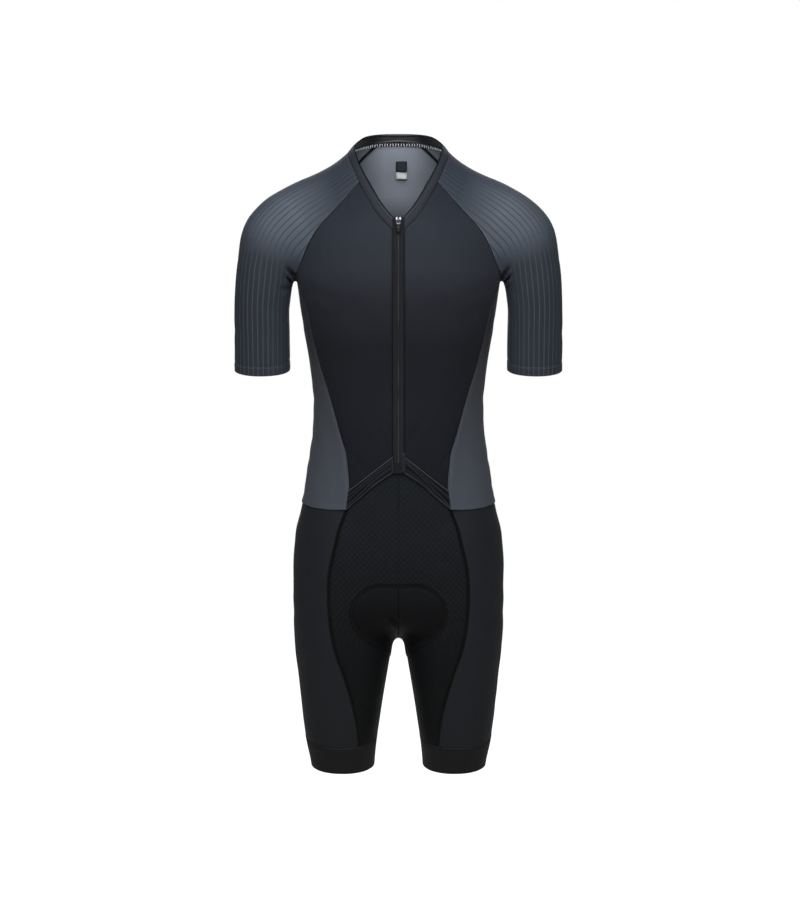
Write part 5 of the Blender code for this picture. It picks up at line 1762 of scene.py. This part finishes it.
# The pull, all one body: a wire link, its sleeve, and a moulded tab with raised faces
def makePull(place):
    half, radius = linkSizes["half"] - linkSizes["rod"] / 2, linkSizes["rod"] / 2
    top, end, level = linkSizes["hingeY"], linkSizes["footY"], linkSizes["hingeZ"]
    loop = rod(roundLoop(half, top, end, level), radius, place, closed=True)
    # The link takes the dark copy of the metal, painted shade, and its sleeve the pale copy, a painted
    # highlight
    hardPiece("zipPullLink", "zip_pull_link", "slider_metal", [loop], shadedMetal, "pull")
    across = linkSizes["sleeve"]
    sleeve = rod([(-across, end, level), (0, end, level), (across, end, level)], radius + 0.0003, place)
    hardPiece("zipLinkSleeve", None, "slider_metal", [sleeve], metal, "pull")
    t, f, th, fh = tabSizes["topY"], tabSizes["footY"], tabSizes["topHalf"], tabSizes["footHalf"]
    sole = [(fh * math.cos(q), f + fh + fh * math.sin(q)) for q in np.radians(np.linspace(180, 360, 15))]
    sides = [(-th, t - 0.0010), (-th, t - 0.0030)] + sole + [(th, t - 0.0030), (th, t - 0.0010)]
    over = np.radians(np.linspace(15, 165, 7))
    crest = [(th * math.cos(q), t - 0.0010 + 0.0009 * math.sin(q)) for q in over]
    thick = tabSizes["thick"] / 2
    tab = plate(sides + crest, level - thick, level + thick, place, 0.00045)
    faces = []
    for low, high, wide, narrow in zip(*faceSizes.values()):
        rim = [(-wide, f + high), (-narrow, f + low), (narrow, f + low), (wide, f + high)]
        faces.append(plate(rim, level + thick - 0.0001, level + thick + 0.0003, place, 0.0001))
    hardPiece("zipPullFaces", None, "pull_rubber", faces, faceRubber, "pull")
    neck = rod(roundLoop(0.0017, end + 0.0006, t - 0.0012, level, 0.0006), 0.00042, place, closed=True)
    hardPiece("zipPull", "zip_pull", "pull_rubber", [tab, neck], rubber, "pull")


sliderPlace = sliderFrame()
makeSlider(sliderPlace)
makePull(sliderPlace)
print("slider made")

# Shorts. The pad lifts the cloth inside its outline, and its stitching draws the cloth in
padSizes = {
    "rise": 0.0016,
    "slope": 0.010,
    "line": 0.0007,
    "lineWidth": 0.0022,
    "clear": 0.0034,
    "edge": 0.0020,
    "middle": 0.0070,
    "channel": 0.0012,
    "channelWidth": 0.0030,
    "channelAway": 0.011,  # of the two long ones, from the middle
    "channelInset": 0.016,  # of the one that runs round, from the edge
}
padLine = curve(np.array([padEdge[k] for k in "xyz"]).T, cells["padRun"])
padEnds = seen(rows("x z", (0.0, cut["padFront"])), -1), seen(rows("x z", (0.0, cut["padBack"])), 1)
padHead = curve(np.concatenate([padEnds[0], padLine[:1]]), cells["padHalf"])
padFoot = curve(np.concatenate([padEnds[1], padLine[-1:]]), cells["padHalf"])
padOutline = chain(padHead, padLine, padFoot[::-1])


# Places by their turn about the fork, front to back, and their distance from the middle
def aboutFork(p):
    turn = np.arctan2(cut["crotchCentre"] - p[..., 2], -p[..., 1])
    return np.stack([np.where(turn < -math.pi / 2, turn + 2 * math.pi, turn), np.abs(p[..., 0])], -1)


# Distance inside the pad's outline, below 0 outside it
def insidePad(p):
    flat = p.reshape(-1, 3) * [0, 1, 1] + np.abs(p.reshape(-1, 3)) * [1, 0, 0]
    start, way = padOutline[:-1], np.diff(padOutline, axis=0)
    along = np.clip(((flat[:, None] - start) * way).sum(2) / (way**2).sum(1), 0, 1)
    off = flat[:, None] - start - along[..., None] * way
    away = np.sqrt((off**2).sum(2).min(1)).reshape(p.shape[:-1])
    turn, wide = aboutFork(padLine).T
    place = aboutFork(p)
    low = np.interp(place[..., 0], turn[np.argsort(turn)], wide[np.argsort(turn)])
    lower, upper = turn.min(), turn.max()
    within = (place[..., 1] < low) & (place[..., 0] > lower) & (place[..., 0] < upper)
    return np.where(within, away, -away)


def padLift(p):
    inside = insidePad(p)
    rise = padSizes["rise"] * ease(inside / padSizes["slope"] + 0.2)
    return rise - padSizes["line"] * bell(inside, padSizes["lineWidth"])


# Creases of the shorts' fronts (A is the distance from the middle, B is z)
shortsCreases = {
    1: creases(
        (0.0010, -0.690, 0.0200, -0.664, 0.10, -0.0016, 0.0030),
        (0.0030, -0.655, 0.0260, -0.612, 0.08, -0.0006, 0.0034),
        (0.0060, -0.690, 0.0420, -0.650, 0.06, -0.0009, 0.0050),
        (0.0150, -0.745, 0.0660, -0.712, 0.06, -0.0008, 0.0080),
        (0.0900, -0.600, 0.0500, -0.580, 0.05, -0.0005, 0.0080),
        (0.0200, -0.800, 0.0780, -0.790, 0.04, -0.0006, 0.0100),
    ),
    -1: creases(
        (0.0005, -0.686, 0.0110, -0.670, 0.06, -0.0026, 0.0034),
        (0.0010, -0.692, 0.0230, -0.662, 0.10, -0.0016, 0.0030),
        (0.0030, -0.650, 0.0220, -0.606, 0.08, -0.0006, 0.0032),
        (0.0060, -0.684, 0.0460, -0.640, 0.07, -0.0009, 0.0052),
        (0.0150, -0.738, 0.0600, -0.720, 0.05, -0.0008, 0.0080),
        (0.0880, -0.612, 0.0560, -0.596, 0.05, -0.0005, 0.0080),
        (0.0240, -0.812, 0.0800, -0.796, -0.04, -0.0006, 0.0100),
    ),
}


def shortsFrontLift(side, p, runs):
    folds = creased(p[..., 0] * side, p[..., 2], shortsCreases[side])
    return folds + padLift(p) + 0.8 * seamDip(runs, "start", "end") + 0.5 * seamDip(runs, "head")


# Creases of the shorts' sides and seat: A is metres of arc from the outside of the hip, B is z
seatCreases = {
    1: creases(
        (0.100, -0.700, 0.170, -0.672, -0.08, -0.0016, 0.0065),
        (0.095, -0.722, 0.150, -0.705, 0.06, -0.0011, 0.0070),
        (0.110, -0.655, 0.175, -0.630, -0.06, -0.0010, 0.0080),
        (-0.030, -0.560, 0.060, -0.545, 0.05, -0.0007, 0.0100),
        (0.000, -0.760, 0.110, -0.775, 0.05, -0.0008, 0.0090),
        (-0.060, -0.800, 0.050, -0.812, -0.04, -0.0006, 0.0080),
        (0.050, -0.835, 0.150, -0.826, 0.05, -0.0006, 0.0070),
    ),
    -1: creases(
        (0.102, -0.704, 0.168, -0.668, -0.07, -0.0016, 0.0065),
        (0.090, -0.728, 0.156, -0.712, -0.06, -0.0011, 0.0065),
        (0.112, -0.650, 0.172, -0.622, -0.06, -0.0010, 0.0085),
        (-0.024, -0.552, 0.070, -0.550, 0.05, -0.0007, 0.0100),
        (-0.010, -0.766, 0.100, -0.782, 0.05, -0.0008, 0.0095),
        (-0.050, -0.808, 0.060, -0.803, 0.05, -0.0006, 0.0080),
        (0.060, -0.838, 0.140, -0.832, -0.05, -0.0006, 0.0070),
    ),
}
legRadius = 0.075


def shortsSideLift(side, p, runs):
    around = uprightCore(120, legAxis)[0]
    q = around((p * [side, 1, 1]).reshape(-1, 3)).reshape(p.shape)
    folds = creased(q[..., 0] * legRadius, q[..., 1], seatCreases[side])
    tucked = -0.0005 * bell(runs["foot"], 0.006)
    return folds + padLift(p) + tucked + seamDip(runs, "start", "end") + 0.5 * seamDip(runs, "head")


# How far the shorts' cloth is from its long seam, and inside the pad's outline
def shortsMarks(seam, side, p, runs):
    return {"seam": runs[seam], "pad": insidePad(p)}


bandLooks = {"rows": 8, "seamLine": 0.0030, "lineDepth": 0.0004, "lineWidth": 0.0012}


def legBandLift(side, p, runs):
    line = bell(runs["head"] - bandLooks["seamLine"], bandLooks["lineWidth"])
    return 0.0004 - bandLooks["lineDepth"] * line - 0.0004 * bell(runs["head"], 0.002)


def makeShorts():
    downMiddle = chain(seams["middleFront"], seams["inseam"])
    downSide = chain(seams["side"][cells["hidden"]::-1], seams["shortsSide"])
    foot = seams["legBandFront"][::-1]
    front = patch(uprightCore(0, legAxis), seams["shortsTop"], foot, downMiddle, downSide)
    bothSides("shortsFront", "shorts_front", "shorts_front_cloth", front, [shortsFrontCloth, shortsInside],
              shortsFrontLift, marks=partial(shortsMarks, "end"))
    rear = chain(seams["middleBack"], seams["inseam"])
    side = patch(uprightCore(120, legAxis), seams["waist"], seams["legBandSide"], seams["shortsSide"], rear)
    bothSides("shortsSide", "shorts_side", "shorts_side_cloth", side, [shortsSideCloth, shortsInside],
              shortsSideLift, marks=partial(shortsMarks, "start"))
    hem = chain(seams["legHemFront"][::-1], seams["legHemSide"])
    band = ribbon(hem, seams["legTop"], bandLooks["rows"] * finer)
    bothSides("legBand", "leg_band", "leg_band_cloth", band, [legBandCloth, gripper], legBandLift,
              thick=clothSizes["band"], joined=len(band), free=("foot",))


makeShorts()
print("shorts made")


# The seat pad: a shallow foam cushion in the fork, with sewn channels
def makePad():
    low = underBody(np.radians(np.linspace(0, 180, 19)))
    around = np.concatenate([padEnds[0], low, seen(rows("x z", (0.0, cut["padSeat"])), 1), padEnds[1]])
    middle = onMiddle(curve(around, cells["padRun"]))
    grid = patch(uprightCore(-90, legAxis), padHead, padFoot, middle, padLine)
    whole = np.concatenate([mirrored(grid)[:, :0:-1], grid], 1)
    square = squareTo(whole)
    across = np.abs(np.linspace(-1, 1, whole.shape[1]))[None, :]
    along = np.abs(np.linspace(-1, 1, whole.shape[0]))[:, None]
    thick = padSizes["edge"] + (padSizes["middle"] - padSizes["edge"]) * (1 - across**3) * (1 - along**4)
    runs = edgeRuns(whole)
    inset = nearestOf(runs)
    wide = padSizes["channelWidth"]
    channels = bell(np.abs(whole[..., 0]) - padSizes["channelAway"], wide) * ease(inset / 0.03)
    channels += bell(inset - padSizes["channelInset"], wide)
    thick = thick - padSizes["channel"] * channels * ease((thick - padSizes["edge"]) / 0.002)
    outer = whole - square * (clothSizes["wall"] + padSizes["clear"] - 0.0004)
    marks = {"edge": inset}
    pad = clothWall("seatPad", outer, square, thick, [padCloth] * 2, clothUv(runs), marks, free=allEdges)
    settle(pad, "seat_pad", "pad_cloth")


makePad()
print("pad made")

# Inside the neck: two plain labels, and the tapes over the back raglan seams
labelSizes = rows("middle half top foot", (0.0045, 0.0084, 0.0165, 0.0018), (0.0045, 0.0084, 0.0013, -0.0090))
labelLooks = {"clear": 0.0012, "wall": 0.0008, "cells": 8, "puff": 0.0005}
tapeSizes = {"half": 0.0022, "clear": 0.0006, "wall": 0.0007, "cells": 4}


def trimPiece(name, node, slot, outer, square, thick, finish):
    runs = edgeRuns(outer)
    marks = {"edge": nearestOf(runs)}
    obj = clothWall(name, outer, square, thick, [finish] * 2, clothUv(runs), marks, free=allEdges)
    flat, area = cutOf(outer, runs, stretched=False)
    cuts[name] = (flat, area)
    min(flat) > clothSizes["leastCut"]
    settle(obj, node, slot)


def makeLabels():
    edges = []
    names = [("neckLabel", "neck_label", "label_dark", labelDark)]
    names += [("sizeLabel", "size_label", "label_pale", labelPale)]
    for k, (name, node, slot, finish) in enumerate(names):
        x = labelSizes["middle"][k] + labelSizes["half"][k] * np.linspace(-1, 1, labelLooks["cells"] + 1)
        z = np.linspace(labelSizes["foot"][k], labelSizes["top"][k], labelLooks["cells"] + 1)
        grid = np.stack([seen({"x": x, "z": np.full(len(x), level)}, 1) for level in z])
        square = squareTo(grid)
        up = np.linspace(0, 1, len(z))[:, None]
        curl = labelLooks["puff"] * (1 - up) ** 2 + 0.0003 * np.sin(3.0 * up + x[None] * 200)
        outer = grid - square * (clothSizes["wall"] + labelLooks["clear"] + curl)[..., None]
        trimPiece(name, node, slot, outer, square, labelLooks["wall"], finish)
        inner = outer - square * labelLooks["wall"]
        edges.append((inner[-1], -square[-1]))
    return edges


def makeRaglanTapes():
    line = seams["raglanBack"]
    square = squareTo(line)
    across = np.cross(square, unit(np.gradient(line, axis=0)))
    share = np.linspace(-1, 1, tapeSizes["cells"] + 1)[None, :, None]
    grid = (line[:, None] + across[:, None] * share * tapeSizes["half"])[finer:]
    squares = np.repeat(square[:, None], tapeSizes["cells"] + 1, 1)[finer:]
    crown = 0.0003 * (1 - share[..., 0] ** 2)
    outer = grid - squares * (clothSizes["wall"] + tapeSizes["clear"] + crown)[..., None]
    for side, word in handSides:
        flip = [side, 1, 1]
        trimPiece("raglanTape" + word, f"raglan_tape_{word.lower()}", "seam_tape", outer * flip,
                  squares * flip, tapeSizes["wall"], tapeCloth)
    return outer - squares * tapeSizes["wall"], squares


labelEdges = makeLabels()
tapeInner, tapeSquares = makeRaglanTapes()
print("labels and tapes made")

# Seams: piping in their grooves, and rows of thread


def pathOn(line, lift=None):
    square = squareTo(line)
    rise = 0 if lift is None else lift(line)[:, None]
    return line + square * rise, square


def bothWays(*paths):
    return [(line * [side, 1, 1], square * [side, 1, 1]) for line, square in paths for side in (1, -1)]


# A line beside a seam, moved over the cloth by some distance
def beside(line, distance):
    return drop(line + np.cross(squareTo(line), unit(np.gradient(line, axis=0))) * distance)


# Where a grid's columns reach some run from its foot
def lineAcross(grid, run, distance):
    found = []
    for column, away in zip(grid.transpose(1, 0, 2), run.T):
        found.append([np.interp(distance, away, column[:, k]) for k in range(3)])
    return np.array(found)


def makeSeamLines():
    raglan, raglanBack = pathOn(seams["raglanFront"][:-1]), pathOn(seams["raglanBack"][:-1])
    upper = bothWays(raglan, raglanBack, pathOn(seams["neck"]))
    grown("jerseySeams", "seam_tape", pipingTree, upper, darkThread, Radius=0.00075, Lift=-0.00035)
    sideTop = seams["side"][cells["hemBand"]:]
    tips = bothWays(pathOn(seams["tipFront"]), pathOn(seams["tipBack"]))
    sides = bothWays(pathOn(sideTop, flap), pathOn(seams["backSide"])) + tips
    grown("sideSeams", "seam_tape", pipingTree, sides, sideCord, Radius=0.0006, Lift=-0.0002)
    bandTop = pathOn(seams["bandTop"], lambda p: flap(p) + 0.0006)
    bandFoot = pathOn(seams["bandFoot"], lambda p: flap(p) + 0.0002)
    grown("hemPiping", "hem_cloth", pipingTree, bothWays(bandTop), hemThread, Radius=0.0005)
    grown("hemEdge", "hem_cloth", pipingTree, bothWays(bandFoot), hemThread, Radius=0.0004)
    middle, backMiddle = seams["middleFront"][cells["hidden"]:], seams["middleBack"]
    lines = [pathOn(middle), pathOn(backMiddle)] + bothWays(pathOn(seams["inseam"]))
    grown("shortsSeams", "shorts_side_cloth", pipingTree, lines, darkThread, Radius=0.0004, Lift=-0.0002)
    rings = bothWays(pathOn(seams["legTop"]), pathOn(seams["waist"]))
    grown("bandSeams", "leg_band_cloth", pipingTree, rings, darkThread, Radius=0.0007, Lift=-0.0002)


stitchSizes = {"spacing": 0.0030, "length": 0.0022, "width": 0.0005, "height": 0.0004}
overlockSizes = {"loopers": (0.0008, 0.0020, 0.0032, 0.0044), "radius": 0.0008, "needle": 0.0034}


def stitched(name, slot, paths, finish, **values):
    sizes = {"Spacing": stitchSizes["spacing"], "Length": stitchSizes["length"]}
    sizes.update({"Width": stitchSizes["width"], "Height": stitchSizes["height"], **values})
    return grown(name, slot, stitchTree, paths, finish, **sizes)


def makeStitches():
    sleeveRun = edgeRuns(sleeveGrid)["foot"]
    cuff = lineAcross(sleeveGrid, sleeveRun, sleeveSizes["stitchLine"])
    lower = lineAcross(sleeveGrid, sleeveRun, sleeveSizes["stitchLine"] - 0.0018)
    stitched("cuffStitches", "sleeve_cloth", bothWays(pathOn(cuff), pathOn(lower)), slateThread, Lift=0.0)
    low = seams["shortsSide"]
    rowsOfThread = bothWays(pathOn(padOutline, lambda p: padLift(p[None])[0]))
    for line, apart in ((low, 0.0019), (seams["inseam"], 0.0024)):
        rowsOfThread += bothWays(pathOn(beside(line, apart)), pathOn(beside(line, -apart)))
    stitched("flatlockStitches", "shorts_side_cloth", rowsOfThread, darkThread, Slant=0.5, Lift=0.0001)
    edgeUp = np.linspace(zipSizes["baseHigh"] + 0.004, zipSizes["vFoot"], 140)
    bead = bothWays(pathOn(upright(zipSizes["half"] + 0.0022, edgeUp), flap))
    stitched("zipStitches", "zip_tape", bead, darkThread, Spacing=0.0026, Length=0.0018)
    foot = chain(seams["neckSide"], seams["neckBack"])
    square = squareTo(foot)
    loops = []
    for down in overlockSizes["loopers"]:
        loops += bothWays((drop(foot - [0, 0, down]) - square * (clothSizes["wall"] + 0.0012), -square))
    grown("overlockLoops", "seam_tape", pipingTree, loops, darkThread, Radius=overlockSizes["radius"])
    needle = drop(foot - [0, 0, overlockSizes["needle"]]) - square * (clothSizes["wall"] + 0.0024)
    stitched("overlockStitches", "label_pale", bothWays((needle, -square)), paleThread, Spacing=0.0042,
             Length=0.0062, Width=0.0013, Height=0.0012, Turn=math.pi / 2, Slant=0.22)
    tapeEdges = [(tapeInner[:, k], -tapeSquares[:, k]) for k in (0, -1)]
    stitched("tapeStitches", "seam_tape", bothWays(*tapeEdges), darkThread, Spacing=0.0028, Length=0.0018)
    fine = {"Spacing": 0.0020, "Length": 0.0013, "Width": 0.0004}
    stitched("labelStitches", "label_dark", labelEdges, darkThread, **fine)
    band = pathOn(drop(seams["legTop"] - [0, 0, bandLooks["seamLine"]]))
    stitched("bandStitches", "leg_band_cloth", bothWays(band), darkThread, Slant=0.6, Lift=0.0004)
    raglan = bothWays(pathOn(beside(seams["raglanFront"][2:-2], 0.0022)))
    raglan += bothWays(pathOn(beside(seams["raglanBack"][2:-2], -0.0022)))
    stitched("raglanStitches", "sleeve_cloth", raglan, slateThread, Spacing=0.0032, Length=0.0020)


makeSeamLines()
makeStitches()
print("seams and stitches made")

# A plain pale floor that the camera sees as white, soft light from above and in front, and the camera
studio = {
    "floor": -1.48,
    "floorHalf": 9.0,
    "cameraPlace": (0.00225, -3.3, -0.4335),
    "lens": 87.2,
    "fill": 0.12,
}
lamps = rows(
    "x y z size power",
    (0.0, -2.4, 1.8, 3.0, 115.0),
    (-1.7, -2.2, 0.1, 1.6, 11.0),
    (1.7, -2.2, 0.1, 1.6, 11.0),
    (0.0, 2.6, 0.7, 2.4, 40.0),
)


# Light that the camera sees as plain white and other rays see at a lower strength
def whiteToCamera(tree, target, strength):
    seenByCamera = addNode(tree, "ShaderNodeLightPath").outputs["Is Camera Ray"]
    level = addNode(tree, "ShaderNodeMix", {"data_type": "FLOAT"}, Factor=seenByCamera)
    level.inputs[2].default_value, level.inputs[3].default_value = strength, 1.0
    tree.links.new(level.outputs[0], target)


def makeStudio():
    half = studio["floorHalf"]
    corners = [(-half, -half), (half, -half), (half, half), (-half, half)]
    white = (1.0, 1.0, 1.0, 1.0)
    matt = {"Base Color": (0.8, 0.8, 0.8, 1.0), "Roughness": 0.9, "Specular IOR Level": 0.0}
    paper, tree, sockets = newMaterial("paper", {**matt, "Emission Color": white})
    whiteToCamera(tree, sockets["Emission Strength"], 0.0)
    floor = newMesh("floor", [(x, y, studio["floor"]) for x, y in corners], [(0, 1, 2, 3)], [paper])
    world = bpy.data.worlds.new("studio")
    bpy.context.scene.world = world
    world.use_nodes = True
    background = world.node_tree.nodes["Background"]
    background.inputs["Color"].default_value = white
    whiteToCamera(world.node_tree, background.inputs["Strength"], studio["fill"])
    aim = Vector((0, 0, -0.45))
    for k, (x, y, z, size, power) in enumerate(zip(*lamps.values())):
        lamp = bpy.data.lights.new(f"softbox{k}", "AREA")
        lamp.shape, lamp.size, lamp.energy = "SQUARE", size, power
        held = addObject(f"softbox{k}", lamp)
        held.location = (x, y, z)
        held.rotation_euler = (aim - held.location).to_track_quat("-Z", "Y").to_euler()
        held.visible_camera = False
    camera = addObject("camera", bpy.data.cameras.new("camera"))
    camera.data.lens = studio["lens"]
    camera.location = studio["cameraPlace"]
    camera.rotation_euler = (math.pi / 2, 0, 0)
    bpy.context.scene.camera = camera
    bpy.context.scene.view_settings.view_transform = "Standard"


makeStudio()
print("studio made")
for name, (flat, area) in cuts.items():
    print(f"cut {name} {1000 * flat[0]:.0f} x {1000 * flat[1]:.0f} mm, {10000 * area:.0f} cm2")
